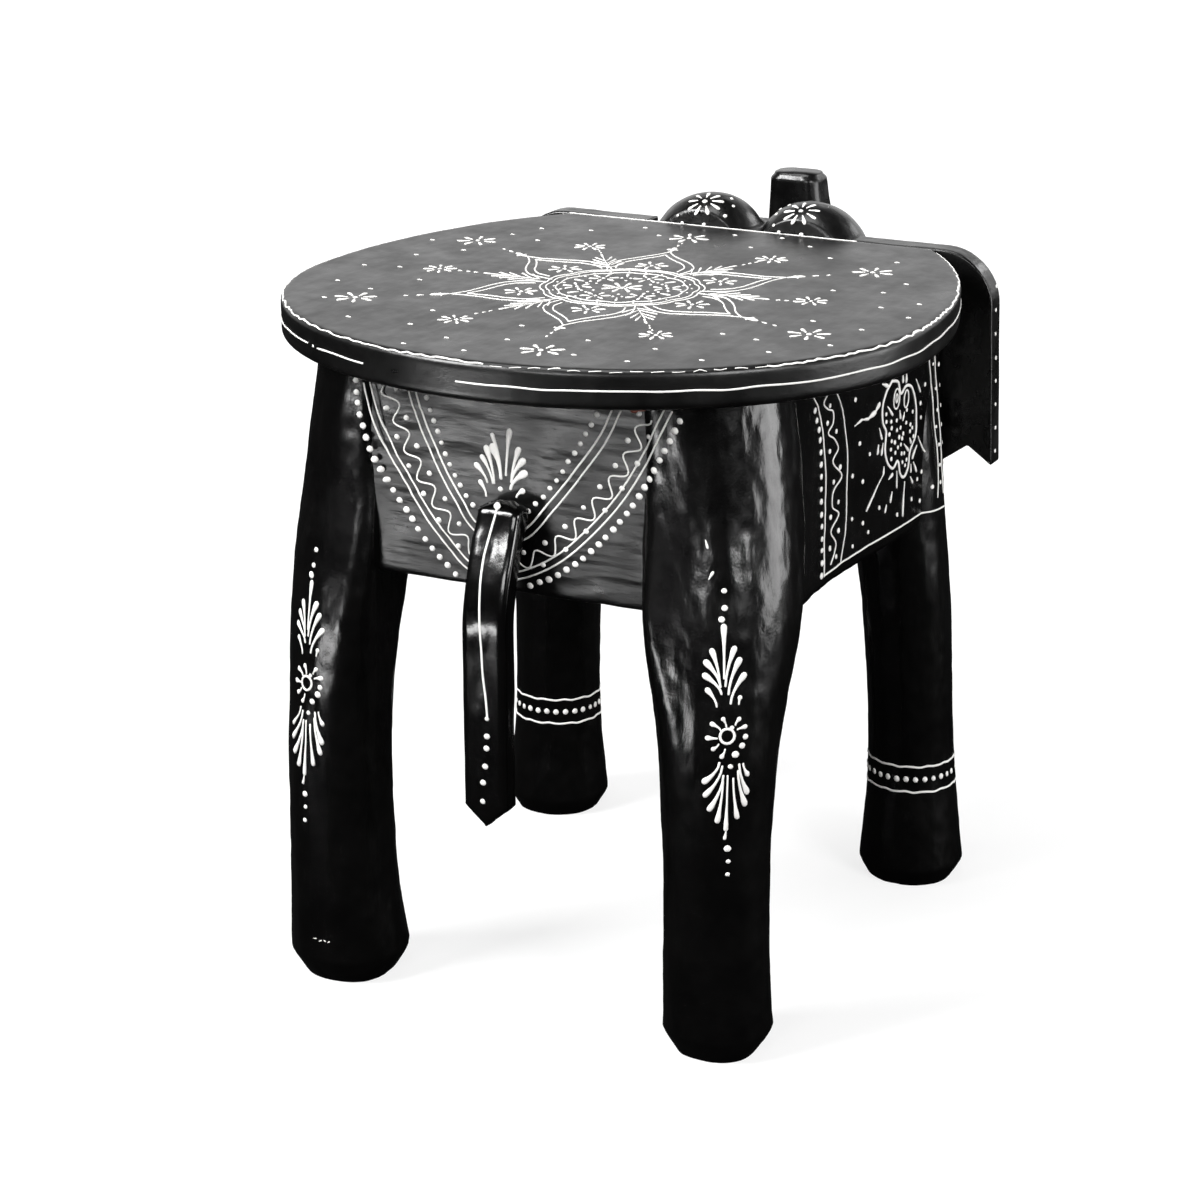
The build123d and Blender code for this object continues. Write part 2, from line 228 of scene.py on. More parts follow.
def sums(tree, operation, *values):
    return nodeIn(tree, "Math", dict(enumerate(values)), operation=operation).outputs[0]


# Satin paint over carved wood: streaks along one direction and fine grain in bump, dull and glossy patches.
def satinPaint(name, colour, stretch, streak, grain, gloss):
    made = bpy.data.materials.new(name)
    tree = emptyTree(made)
    place = nodeIn(tree, "TexCoord").outputs["Object"]
    mapped = nodeIn(tree, "Mapping", {"Vector": place, "Scale": stretch}).outputs[0]
    streaks = nodeIn(tree, "TexNoise", {"Vector": mapped, "Scale": 420, "Detail": 3, "Roughness": 0.6})
    fine = nodeIn(tree, "TexNoise", {"Vector": place, "Scale": 900, "Detail": 2})
    patches = nodeIn(tree, "TexNoise", {"Vector": place, "Scale": 45, "Detail": 3, "Roughness": 0.7})
    rough = ranged(tree, patches.outputs[0], 0.3, 0.7, *gloss)
    dark, light = colour
    mixed = nodeIn(tree, "Mix", {0: patches.outputs[0], 6: (*dark, 1), 7: (*light, 1)}, data_type="RGBA")
    firstBump = nodeIn(tree, "Bump", {"Height": streaks.outputs[0], "Strength": 1, "Distance": streak * mm})
    secondBump = nodeIn(tree, "Bump", {"Height": fine.outputs[0], "Strength": 1, "Distance": grain * mm,
                                       "Normal": firstBump.outputs[0]})
    shader = nodeIn(tree, "BsdfPrincipled", {"Base Color": mixed.outputs[2], "Roughness": rough,
                                             "IOR": 1.5, "Normal": secondBump.outputs[0]})
    nodeIn(tree, "OutputMaterial", {"Surface": shader.outputs[0]})
    materials[name] = made


black = ((0.0006, 0.0006, 0.0007), (0.0022, 0.0021, 0.002))
white = ((0.82, 0.81, 0.78), (0.93, 0.92, 0.9))
satinPaint("legPaint", black, (1, 1, 0.3), 0.12, 0.03, (0.17, 0.25))
satinPaint("seatPaint", black, (1, 0.4, 1), 0.07, 0.02, (0.27, 0.4))
satinPaint("rumpPaint", black, (0.25, 1, 1), 0.12, 0.03, (0.26, 0.4))
satinPaint("flankPaint", black, (1, 0.6, 0.6), 0.06, 0.02, (0.17, 0.25))
satinPaint("tailPaint", black, (1, 1, 0.5), 0.05, 0.02, (0.1, 0.18))
satinPaint("headPaint", black, (1, 1, 0.5), 0.12, 0.03, (0.22, 0.36))
satinPaint("whitePaint", white, (1, 1, 1), 0.05, 0.03, (0.35, 0.55))
satinPaint("bareChip", ((0.16, 0.035, 0.02), (0.3, 0.08, 0.05)), (1, 1, 1), 0.1, 0.05, (0.5, 0.7))
satinPaint("tuskPaint", white, (1, 0.3, 1), 0.06, 0.02, (0.3, 0.45))
satinPaint("bareWood", ((0.33, 0.2, 0.1), (0.55, 0.37, 0.21)), (1, 0.15, 1), 0.1, 0.03, (0.5, 0.7))
satinPaint("nailSteel", ((0.28, 0.28, 0.29), (0.42, 0.42, 0.43)), (1, 1, 1), 0.02, 0.01, (0.3, 0.45))
nodeMaterials = {"tail_dowel": "bareWood", "trunk_dowel": "bareWood", "seat_nails": "nailSteel",
                 "ear_nails": "nailSteel", "head_screws": "nailSteel"}
for node, material in nodeMaterials.items():
    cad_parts[node].data.materials.clear()
    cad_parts[node].data.materials.append(materials[material])
shader = next(node for node in materials["nailSteel"].node_tree.nodes if node.type == "BSDF_PRINCIPLED")
shader.inputs["Metallic"].default_value = 1
print("materials made")


# A leg's stations stand at shares of its height: shift inward, shift back, width, depth, corner radius and
# the outer rear corner's radius, in mm.
rearLeg = {
    "footX": 90.5 * mm, "footY": widestY + 78 * mm, "bevel": 6.2 * mm, "bevelUp": 10.5 * mm,
    "shares": (0.03, 0.19, 0.35, 0.51, 0.67, 0.83, 1.0),
    "stations": ((0, 0.3, 45.9, 45.9, 20.8, 20.8), (0, 3.3, 43.8, 43.8, 19.7, 19.7),
        (-0.3, 4.6, 44.6, 44, 19.8, 19.8), (0, 3.5, 48.2, 46.8, 17.2, 25), (1.7, -2.5, 54.6, 49.6, 8, 33),
        (7, -14.5, 56.4, 55.5, 13, 33), (12, -17, 52.4, 56.4, 12, 35)),
}
# The left rear leg has a stouter foot and a narrower thigh.
stoutLeg = {
    **rearLeg, "bevel": 7 * mm, "bevelUp": 11.5 * mm,
    "stations": ((1, 0, 51.2, 51.2, 23, 23), (0.7, 3.5, 45.2, 45.2, 20.4, 20.4),
        (1.1, 4.6, 43.6, 43.6, 19.6, 19.6), (1.3, 3.7, 45.2, 45.8, 17, 25),
        (1.2, -1.7, 49.2, 47.4, 11, 32.5), (2.8, -14.5, 47.6, 55.5, 10, 33),
        (6.7, -17, 41.6, 56.4, 8, 32)),
}
frontLeg = {
    "footX": 94.5 * mm, "footY": widestY - 136 * mm, "bevel": 4.5 * mm, "bevelUp": 8 * mm,
    "shares": (0.03, 0.19, 0.35, 0.51, 0.67, 0.83, 1.0),
    "stations": ((-0.7, 0, 49.3, 49.3, 23.6, 23.6), (0.1, 1, 42.4, 42.4, 20.4, 20.4),
        (1.3, 3, 41.6, 41.6, 20, 20), (3.8, 6.6, 42.4, 42.4, 19.4, 19.4), (9, 10, 43, 41, 17.4, 17.4),
        (13, 11, 42.4, 40, 15, 15), (14.5, 11, 42.4, 40, 14, 14)),
}
# The right front leg strays a little to the rear at its foot.
strayLeg = {
    **frontLeg,
    "stations": ((-1.6, 3.2, 48.1, 48.1, 23, 23), (-0.3, 3.4, 41.2, 41.2, 20, 20),
        (1.5, 4.6, 40.6, 40.6, 19.6, 19.6), (4.2, 7.2, 41.6, 41.6, 19, 19), *frontLeg["stations"][4:]),
}


# A leg's section at a height: its stations' values, joined by a smooth curve.
def legSection(leg, height):
    return np.moveaxis(smooth(height / legHigh, leg["shares"], np.array(leg["stations"]) * mm), -1, 0)


# How far a side falls back round its corner at a distance off its middle, and where it still stands
def sideFall(off, half, corner):
    beyond = (abs(off) - half + corner) / corner
    return corner * (1 - np.sqrt(np.clip(1 - np.clip(beyond, 0, 1)**2, 0, 1))), beyond < 1


# Leg: at each height a rounded rectangle from the stations, given in polar form about the leg's middle.
def legBase(leg, side):
    def base(turn, height):
        inward, back, width, depth, corner, outer = legSection(leg, height)
        cut = leg["bevel"] * np.clip(1 - height / leg["bevelUp"], 0, 1)**1.15
        c, s = np.cos(turn), np.sin(turn)
        corners = [(1, 1, outer - cut), (1, -1, corner - cut), (-1, 1, corner - cut), (-1, -1, corner - cut)]
        radius = reach(c, s, width / 2 - cut, depth / 2 - cut, corners)
        x = side * (leg["footX"] - inward + radius * c)
        return np.stack([x, leg["footY"] + back + radius * s, height + 0 * turn], -1)
    return base


# Broad unevenness, long gouge marks down the leg and small knife marks
legRough = carving(0.3, ((26, 26, 34), 3, 0.45), ((5, 5, 22), 4, 0.3), ((2.2, 2.2, 5.5), 5, 0.17))


legs = {"rear_left_leg": (stoutLeg, 1), "rear_right_leg": (rearLeg, -1),
        "front_left_leg": (frontLeg, 1), "front_right_leg": (strayLeg, -1)}
turns = evenTurns(132)
heights = np.concatenate([[0, 0.6 * mm], np.linspace(2 * mm, legHigh, 196)])
for node, (leg, side) in legs.items():
    base = legBase(leg, side)
    grid = carved(base(turns, heights[:, None]), legRough)
    grid[..., 2] = np.clip(grid[..., 2], 0, legHigh)
    grid[0, :, 2] = 0
    gridPiece(pieceName(node), grid, "legPaint", node)
print("legs made")


seat = {
    "frontAxis": 191 * mm, "halfWidth": 143.5 * mm, "cut": 146 * mm, "edgeRound": 3 * mm,
    "inset": 0.15 * mm,
}


# Seat outline about the widest line's middle: two half ellipses, with the front one cut off straight.
def seatRadius(turn):
    c, s = np.cos(turn), np.sin(turn)
    axis = np.where(s > 0, seatRearReach, seat["frontAxis"])
    ellipse = 1 / np.sqrt((c / seat["halfWidth"])**2 + (s / axis)**2)
    return np.where(s < 0, np.minimum(ellipse, seat["cut"] / np.maximum(-s, 1e-9)), ellipse) - seat["inset"]


seatRough = carving(0.25, ((38, 30, 60), 11, 0.16), ((3, 15, 6), 12, 0.06), ((2.2, 7, 3), 13, 0.035))


def rimProfile(low, high, rounding, rings):
    # share of the radius, inset at the edge, height: out over the top, round both edges, back under
    quarter = np.linspace(0, np.pi / 2, 6)
    out = [(share, rounding, high) for share in np.linspace(0.004, 1, rings)[:-1]]
    top = [(1, rounding * (1 - math.sin(q)), high - rounding * (1 - math.cos(q))) for q in quarter]
    side = [(1, 0, height) for height in np.linspace(high - rounding, low + rounding, 9)[1:-1]]
    bottom = [(1, rounding * (1 - math.cos(q)), low + rounding * (1 - math.sin(q))) for q in quarter]
    back = [(share, rounding, low) for share in np.linspace(1, 0.004, rings // 3)[1:]]
    return np.array(out + top + side + bottom + back)


share, inset, height = rimProfile(seatLow[2], seatHigh[2], seat["edgeRound"], 84).T[..., None]
turns = evenTurns(440)
radius = share * (seatRadius(turns) - inset)
grid = np.stack([radius * np.cos(turns), widestY + radius * np.sin(turns), height + 0 * turns], -1)
gridPiece("SeatBoard", carved(grid, seatRough), "seatPaint", "seat_board")
print("seat made")


# Loop round a many-cornered section: straight runs between corners, then neighbours averaged to round them.
def roundedLoop(corners, spacing, rounds):
    sides = np.linalg.norm(np.roll(corners, -1, axis=-2) - corners, axis=-1)
    counts = np.maximum(2, np.round(sides.reshape(-1, sides.shape[-1]).mean(axis=0) / spacing)).astype(int)
    runs = []
    for k, count in enumerate(counts):
        along = np.linspace(0, 1, count, endpoint=False)[:, None]
        start, end = corners[..., k, :], corners[..., (k + 1) % len(counts), :]
        runs.append(start[..., None, :] * (1 - along) + end[..., None, :] * along)
    loop = np.concatenate(runs, axis=-2)
    for _ in range(rounds):
        loop = (np.roll(loop, 1, axis=-2) + 2 * loop + np.roll(loop, -1, axis=-2)) / 4
    return loop


rumpRough = carving(0.35, ((30, 30, 22), 21, 0.3), ((24, 8, 3.2), 22, 0.26), ((8, 5, 1.7), 23, 0.16))


# Cross board: one rounded section, carried straight across from leg to leg.
def crossBoard(name, node, outerY, innerY):
    low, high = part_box(node)
    corners = np.array([(outerY, low.z), (outerY, high.z), (innerY, high.z), (innerY, low.z)])
    loop = roundedLoop(corners, 1.4 * mm, 5)
    across = np.linspace(low.x, high.x, 120)[:, None]
    grid = np.stack([across + 0 * loop[:, 0], loop[:, 0] + 0 * across, loop[:, 1] + 0 * across], -1)
    gridPiece(name, carved(grid, rumpRough), "rumpPaint", node)


rumpLow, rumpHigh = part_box("rear_panel")
chestLow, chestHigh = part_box("front_panel")
crossBoard("RearPanel", "rear_panel", rumpHigh.y, rumpLow.y)
crossBoard("FrontPanel", "front_panel", chestLow.y, chestHigh.y)

flankLow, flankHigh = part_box("left_side_panel")
flank = {
    "inner": 86 * mm, "dish": 0.8 * mm, "bevel": 5 * mm, "bevelUp": 8 * mm, "depth": 103.5 * mm,
    "bow": (102.6, 104.5, 102, 104), "bowAt": (0, 0.25, 0.58, 1), "rearDrop": 5 * mm, "frontDrop": 4 * mm,
}


# Share of the flank's length, from its front end
def flankShare(y):
    return (y - flankLow.y) / (flankHigh.y - flankLow.y)


# Lower edge: highest between its ends, falling to each by a power of the distance.
def flankBottom(y):
    share = flankShare(y)
    off = abs(2 * share - 1)
    fall = np.where(share > 0.5, flank["rearDrop"] * off**2.6, flank["frontDrop"] * off**2)
    return legHigh - flank["depth"] - fall


# Flank: its outer face bows out along the side and is dished a little up its height.
def flankBase(side):
    def base(y, z):
        up = (z - flankBottom(y)) / (legHigh - flankBottom(y))
        bow = smooth(flankShare(y), flank["bowAt"], flank["bow"]) * mm
        return np.stack([side * (bow - flank["dish"] * np.sin(np.pi * np.clip(up, 0, 1))), y, z], -1)
    return base


flankRough = carving(0.3, ((30, 26, 24), 31, 0.35), ((8, 9, 9), 32, 0.24), ((3, 3.2, 4), 33, 0.13))


# Flank board: the outer face with a quarter-round lip under it, then a flat inner face back down to the lip.
def flankBoard(name, node, side):
    along = np.linspace(flankLow.y, flankHigh.y, 130)[:, None]
    rise = np.linspace(0, 1, 62)[None, :]
    bottom = flankBottom(along)
    span = legHigh - bottom - flank["bevelUp"]
    outer = flankBase(side)(along + 0 * rise, bottom + flank["bevelUp"] + rise * span)
    quarter = np.linspace(np.pi / 2, 0, 7)[:-1]
    lip = np.repeat(outer[:, :1], len(quarter), axis=1)
    lip[..., 0] -= side * flank["bevel"] * (1 - np.cos(quarter))
    lip[..., 2] = bottom + flank["bevelUp"] * (1 - np.sin(quarter))
    inner = outer[:, ::-1].copy()
    inner[..., 0] = side * flank["inner"]
    lowInner = inner[:, -1:].copy()
    lowInner[..., 2] = bottom
    grid = np.concatenate([lip, outer, inner, lowInner], axis=1)
    gridPiece(name, carved(grid, flankRough), "flankPaint", node)


flankBoard("LeftFlank", "left_side_panel", 1)
flankBoard("RightFlank", "right_side_panel", -1)
print("boards made")


tailLow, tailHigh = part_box("tail")
tail = {
    "halfWidth": 10.4 * mm, "shift": 0.9 * mm, "thickness": 11 * mm, "corner": 2.6 * mm, "point": 8.5 * mm,
    "drops": (0, 10, 21, 33, 45, 60, 100, 137), "kicks": (11.5, 15, 20, 24.3, 26.6, 27, 27, 27),
}


# Rear face of the tail: a smooth curve of how far it stands off the rump, by the drop from its top.
def tailFace(z):
    return rumpY + smooth(tailHigh.z - z, np.array(tail["drops"]) * mm, np.array(tail["kicks"]) * mm)


def tailBase(x, z):
    return np.stack([x, tailFace(z), z + 0 * x], -1)


tailRough = carving(0.3, ((12, 12, 20), 41, 0.3), ((3, 3, 9), 42, 0.14))

# Tail: a rounded section carried down the rump's curve, narrowing to a point at its end.
heights = np.linspace(tailHigh.z, tailLow.z, 110)[:, None]
turns = evenTurns(44)
narrow = np.clip((heights - tailLow.z) / tail["point"], 0.05, 1)
cap = np.sqrt(np.clip((tailHigh.z - heights) / (3 * mm), 0.12, 1))
inner = np.maximum(rumpY, tailFace(heights) - tail["thickness"])
halfThick = (tailFace(heights) - inner) / 2
c, s = np.cos(turns), np.sin(turns)
halfWide, corners = tail["halfWidth"] * narrow * cap + 0 * s, evenCorners(tail["corner"])
radius = reach(c, s, halfWide, halfThick * cap + 0 * s, corners)
back = (tailFace(heights) + inner) / 2 + radius * s
grid = np.stack([tail["shift"] + radius * c, back, heights + 0 * s], -1)
gridPiece("Tail", carved(grid, tailRough), "tailPaint", "tail")
print("tail made")


earLow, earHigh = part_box("left_ear")
ear = {
    "topX": 121.5 * mm, "round": 25.5 * mm, "tooth": 8.5 * mm, "teeth": 3, "edgeRound": 1.3 * mm,
    "inset": 0.1 * mm,
}


# Ear outline: a straight top, a round outer corner and a lower edge of pointed teeth.
def earOutline():
    toothAt = np.linspace(earHigh.x, earLow.x, 2 * ear["teeth"] + 1)
    teeth = [(x, earLow.z + (k % 2) * ear["tooth"]) for k, x in enumerate(toothAt)]
    middle = np.array([ear["topX"] - ear["round"], earHigh.z - ear["round"]])
    quarter = np.linspace(0, np.pi / 2, 12)
    arc = [middle + ear["round"] * np.array([math.sin(q), math.cos(q)]) for q in quarter]
    return np.array([(earLow.x, earHigh.z), *arc, *teeth])


# Distance from a middle to a polygon's edge along each direction: the smallest hit on any side.
def polygonRadius(turn, middle, polygon):
    start = polygon - middle
    side = np.roll(start, -1, axis=0) - start
    c, s = np.cos(turn)[..., None], np.sin(turn)[..., None]
    cross = c * side[:, 1] - s * side[:, 0]
    cross = np.where(abs(cross) < 1e-12, 1e-12, cross)
    distance = (start[:, 0] * side[:, 1] - start[:, 1] * side[:, 0]) / cross
    share = (start[:, 0] * s - start[:, 1] * c) / cross
    hit = (distance > 0) & (share >= -1e-6) & (share <= 1 + 1e-6)
    return np.where(hit, distance, np.inf).min(axis=-1)


earRough = carving(0.28, ((24, 24, 24), 51, 0.22), ((5, 4, 14), 52, 0.12))


# Ear board: the seat's kind of profile, carried round the toothed outline.
def earBoard(name, node, side):
    middle = np.array([(earLow.x + earHigh.x) / 2, (earLow.z + earHigh.z) / 2])
    turns = evenTurns(360)
    share, inset, depth = rimProfile(earLow.y, earHigh.y, ear["edgeRound"], 40).T[..., None]
    radius = share * (polygonRadius(turns, middle, earOutline()) - inset - ear["inset"])
    x = side * (middle[0] + radius * np.cos(turns))
    grid = np.stack([x, depth + 0 * turns, middle[1] + radius * np.sin(turns)], -1)
    gridPiece(name, carved(grid, earRough), "headPaint", node)


earBoard("LeftEar", "left_ear", 1)
earBoard("RightEar", "right_ear", -1)
print("ears made")


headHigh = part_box("head")[1]
head = {
    "drops": (93, 78, 60, 38, 16, -3), "widths": (22, 32, 41, 48, 51, 47),
    "reaches": (26, 38, 42, 44, 43, 34), "sides": (4, 8, 12, 14, 14, 12), "domeX": 24.5 * mm,
    "domeRadius": 25.8 * mm, "domeY": chestY - 16 * mm, "blend": 1.5 * mm, "brow": 1.5 * mm,
    "widening": 1.13, "far": 90 * mm, "middle": np.array([0, chestY - 20 * mm, seatHigh[2] - 40 * mm]),
}
head["domeZ"] = headHigh.z - head["domeRadius"]


# Head: below zero inside a block of curved sections or inside either forehead ball, the two blended softly.
def headField(points):
    x, y, z = np.moveaxis(points, -1, 0)
    drop = np.clip((seatHigh[2] - z) / mm, head["drops"][-1], head["drops"][0])
    at = np.array(head["drops"])[::-1]
    rows = (head["widths"], head["reaches"], head["sides"])
    width, forward, side = (np.interp(drop, at, np.array(row)[::-1]) * mm for row in rows)
    bulge = np.maximum((chestY - side - y) / (forward - side), 0)
    section = (np.sqrt((x / width)**2 + bulge**2) - 1) * width
    high, low = z - (seatHigh[2] - head["brow"]), (seatHigh[2] - head["drops"][0] * mm) - z
    block = np.maximum(np.maximum(section, high), low)
    aside = (abs(x) - head["domeX"]) / np.where(abs(x) > head["domeX"], head["widening"], 1)
    balls = np.sqrt(aside**2 + (y - head["domeY"])**2 + (z - head["domeZ"])**2) - head["domeRadius"]
    mix = np.clip(0.5 + (balls - block) / (2 * head["blend"]), 0, 1)
    joined = balls * (1 - mix) + block * mix - head["blend"] * mix * (1 - mix)
    return np.maximum(joined, y - chestY)


# Halving steps between numbers inside a field and numbers beyond it, until they meet where it is zero
def fieldEdge(field, near, far, steps):
    for _ in range(steps):
        half = (near + far) / 2
        inside = field(half) < 0
        near, far = np.where(inside, half, near), np.where(inside, far, half)
    return near


# Walks out from the middle until the field is zero, in every direction of a globe at once.
def globe(field, middle, far, rings, columns):
    tilt = np.linspace(0.01, np.pi - 0.01, rings)[:, None]
    turn = evenTurns(columns)
    way = np.stack([np.sin(tilt) * np.cos(turn), np.sin(tilt) * np.sin(turn), np.cos(tilt) + 0 * turn], -1)
    start, end = np.zeros(way.shape[:2]), np.full(way.shape[:2], far)
    out = fieldEdge(lambda out: field(middle + way * out[..., None]), start, end, 26)
    return middle + way * out[..., None]


headRough = carving(0.3, ((18, 18, 18), 61, 0.3), ((4, 4, 8), 62, 0.14))
grid = globe(headField, head["middle"], head["far"], 170, 220)
gridPiece("Head", carved(grid, headRough), "headPaint", "head")

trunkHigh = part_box("trunk")[1]
trunk = {
    "rootWidth": 36 * mm, "thick": 26 * mm, "tipWidth": 25 * mm, "tipThick": 20 * mm, "tipAside": 1.2 * mm,
    "corner": 6.5 * mm, "bendY": chestY - 48 * mm, "bendZ": seatHigh[2] - 42 * mm, "bendInner": 8.5 * mm,
    "tipY": chestY - 63 * mm, "tipRound": 3 * mm, "rings": (14, 40, 60),
}


# Trunk: a rounded rectangle carried out from the head, a quarter turn up round the bend and on to the tip.
def trunkGrid():
    bend = trunk["bendInner"] + trunk["thick"] / 2
    root, curve, upright = trunk["rings"]
    turn = np.concatenate([np.zeros(root), np.linspace(0, np.pi / 2, curve), np.full(upright, np.pi / 2)])
    straight = np.concatenate([np.linspace(trunkHigh.y - trunk["bendY"], 0, root), np.zeros(curve + upright)])
    rise = np.concatenate([np.zeros(root + curve), np.linspace(0, 1, upright)])
    top = trunkHigh.z - trunk["bendZ"]
    y = trunk["bendY"] + straight - bend * np.sin(turn) + rise * (trunk["tipY"] - trunk["bendY"] + bend)
    z = trunk["bendZ"] - bend * np.cos(turn) + rise * top
    ending = np.sqrt(np.clip((1 - rise) * top / (2.5 * mm), 0.3, 1))
    halfWide = (trunk["rootWidth"] + rise * (trunk["tipWidth"] - trunk["rootWidth"])) / 2
    halfThick = (trunk["thick"] + rise * (trunk["tipThick"] - trunk["thick"])) / 2
    around = evenTurns(96)
    c, s = np.cos(around), np.sin(around)
    cut = ((1 - ending) * trunk["tipRound"])[:, None]
    radius = reach(c, s, halfWide[:, None] - cut, halfThick[:, None] - cut, evenCorners(trunk["corner"]))
    lean, drop = np.sin(turn)[:, None], np.cos(turn)[:, None]
    x = trunk["tipAside"] * rise[:, None] + radius * c
    return np.stack([x, y[:, None] - radius * s * lean, z[:, None] - radius * s * drop], -1)


gridPiece("Trunk", carved(trunkGrid(), headRough), "headPaint", "trunk")

tusk = {
    "rootX": 25 * mm, "rootY": chestY - 24 * mm, "rootZ": seatHigh[2] - 70 * mm, "length": 42 * mm,
    "lift": 12 * mm, "spread": 5 * mm, "root": 4.75 * mm, "tip": 1.75 * mm,
}


# Tusk: a circle that shrinks along a line which rises and spreads with the square of its length.
def tuskPiece(name, node, side):
    share = np.linspace(0, 1, 50)[:, None]
    around = evenTurns(28)
    taper = tusk["root"] + share * (tusk["tip"] - tusk["root"])
    radius = taper * np.sqrt(np.clip((1 - share) * 22, 0.05, 1))
    x = side * (tusk["rootX"] + tusk["spread"] * share**2 + radius * np.cos(around))
    y = tusk["rootY"] - tusk["length"] * share + 0 * around
    grid = np.stack([x, y, tusk["rootZ"] + tusk["lift"] * share**2 + radius * np.sin(around)], -1)
    gridPiece(name, grid, "tuskPaint", node)


tuskPiece("LeftTusk", "left_tusk", 1)
tuskPiece("RightTusk", "right_tusk", -1)
print("head made")


# Raised paint in mm: height of the finest marks and of the fullest, stray of a mark, usual half width of a
# line; then the share of a mark's half width by which it is higher, and how uneven the widths are
paint = {"low": 0.16, "high": 0.42, "jitter": 0.13, "line": 0.42, "rise": 0.2, "uneven": (0.9, 1.1)}
ringAcross = np.array([-1, -0.66, 0.66, 1, 0.6, -0.6])
ringLift = np.array([-0.1, 1, 1, -0.1, -0.8, -0.8])


# Path through points given in mm, at even steps.
def along(points, spacing=1.2):
    points = np.asarray(points, float)
    at = np.concatenate([[0], np.cumsum(np.linalg.norm(np.diff(points, axis=0), axis=1))])
    return smooth(np.linspace(0, at[-1], max(2, round(at[-1] / spacing) + 1)), at, points)


# Unit directions along a path, and those a quarter turn to the left of them
def pathNormals(path):
    way = np.gradient(path, axis=0) if len(path) > 1 else np.array([[1.0, 0.0]])
    way = way / np.linalg.norm(way, axis=1, keepdims=True)
    return way, np.stack([-way[:, 1], way[:, 0]], -1)


def beside(points, shift):
    path = along(points, 3)
    return path + shift * pathNormals(path)[1]


# A mark is a path and its half width at each point.
def line(points, half=paint["line"]):
    path = along(points)
    return [(path, np.full(len(path), half))]


# Dots at the points themselves, or at this spacing along the path through them
def dots(points, radius, spacing=None):
    places = along(points, spacing) if spacing else np.array(points, float)
    return [(place[None], np.array([radius])) for place in places]


# Leaf: a straight stroke that swells towards its tip.
def leaf(base, tip, half):
    share = np.array([[0], [0.3], [0.6], [0.85], [1]])
    path = np.array(base) * (1 - share) + np.array(tip) * share
    return [(path, half * np.array([0.38, 0.55, 0.9, 1, 0.8]))]


# Club: a thin stem that swings aside as it goes and ends in a round drop.
def club(base, tip, half):
    share = np.array([[0], [0.2], [0.4], [0.6], [0.78], [0.9], [1]])
    path = np.array(base) * (1 - share) + np.array(tip) * share
    path[:, 0] = base[0] + (tip[0] - base[0]) * share[:, 0]**1.7
    return [(path, half * np.array([0.4, 0.4, 0.42, 0.52, 0.75, 1.02, 1.08]))]


def leaves(pairs, half):
    return [mark for base, tip in pairs for mark in leaf(base, tip, half)]


# Many strokes of one kind, each row the two places of its base, the two of its tip, and a half width
def strokes(kind, rows, fuller=1):
    return [mark for x, y, tipX, tipY, half in rows for mark in kind((x, y), (tipX, tipY), half * fuller)]


def flower(middle, size, petals, turn=0):
    ways = [np.array([math.cos(q), math.sin(q)]) for q in turn + 2 * np.pi * np.arange(petals) / petals]
    middle = np.array(middle)
    pairs = [(middle + way * size * 0.42, middle + way * size) for way in ways]
    return dots([middle], size * 0.14) + leaves(pairs, size * 0.11)


# Wave: a sine of this reach and period across a path, with a dot in each hollow.
def wave(points, reachOut, period, radius):
    path = along(points, 0.9)
    normal = pathNormals(path)[1]
    at = np.concatenate([[0], np.cumsum(np.linalg.norm(np.diff(path, axis=0), axis=1))])
    crests = np.arange(period / 4, at[-1], period / 2)
    middle, across = smooth(crests, at, path), smooth(crests, at, normal)
    side = np.sign(np.sin(2 * np.pi * crests / period))[:, None]
    swung = path + normal * reachOut * np.sin(2 * np.pi * at / period)[:, None]
    return line(swung) + dots(middle - side * across * reachOut * 1.3, radius)


def moved(marks, place, turn=0, size=1):
    c, s = math.cos(turn) * size, math.sin(turn) * size
    turned = np.array([[c, s], [-s, c]])
    return [(path @ turned + np.array(place), widths * size) for path, widths in marks]


def mirrored(marks):
    return [(path * (-1, 1), widths) for path, widths in marks]


# Raised paint: every mark becomes a low closed ridge with round ends, which a place function lays down.
def paintMarks(name, marks, place, seed, material="whitePaint"):
    random = np.random.default_rng(seed)
    caps = np.radians([78, 40])
    flat, lifts, faces, count = [], [], [], 0
    for path, widths in marks:
        path = path + random.normal(0, paint["jitter"], 2)
        widths = widths * random.uniform(*paint["uneven"])
        way, across = pathNormals(path)
        start, end = np.sin(caps)[:, None] * widths[0], np.sin(caps[::-1])[:, None] * widths[-1]
        middle = np.concatenate([path[:1] - way[:1] * start, path, path[-1:] + way[-1:] * end])
        across = np.concatenate([across[:1], across[:1], across, across[-1:], across[-1:]])
        scale = np.concatenate([np.cos(caps), np.ones(len(path)), np.cos(caps[::-1])])
        width = scale * np.concatenate([widths[:1], widths[:1], widths, widths[-1:], widths[-1:]])
        height = scale * np.clip(paint["low"] + paint["rise"] * width, 0, paint["high"])
        aside = across[:, None] * (width[:, None] * ringAcross)[..., None]
        flat.append((middle[:, None] + aside).reshape(-1, 2))
        lifts.append((height[:, None] * ringLift).ravel())
        added = len(middle) * len(ringAcross)
        faces += tubeFaces(count + np.arange(added).reshape(-1, len(ringAcross)))
        count += added
    flat = np.concatenate(flat) * mm
    points = place(flat[:, 0], flat[:, 1], np.concatenate(lifts) * mm)
    points = np.clip(points, *(np.array(corner) for corner in cadBox))
    quads = np.array([face for face in faces if len(face) == 4])
    first, second, third, fourth = (points[quads[:, k]] - points.mean(axis=0) for k in range(4))
    halves = ((second, third), (third, fourth))
    volume = sum(np.einsum("ij,ij", first, np.cross(left, right)) for left, right in halves)
    if volume < 0:
        faces = [face[::-1] for face in faces]
    meshPiece(name, points, faces, material)
    print(name, len(marks), "marks")


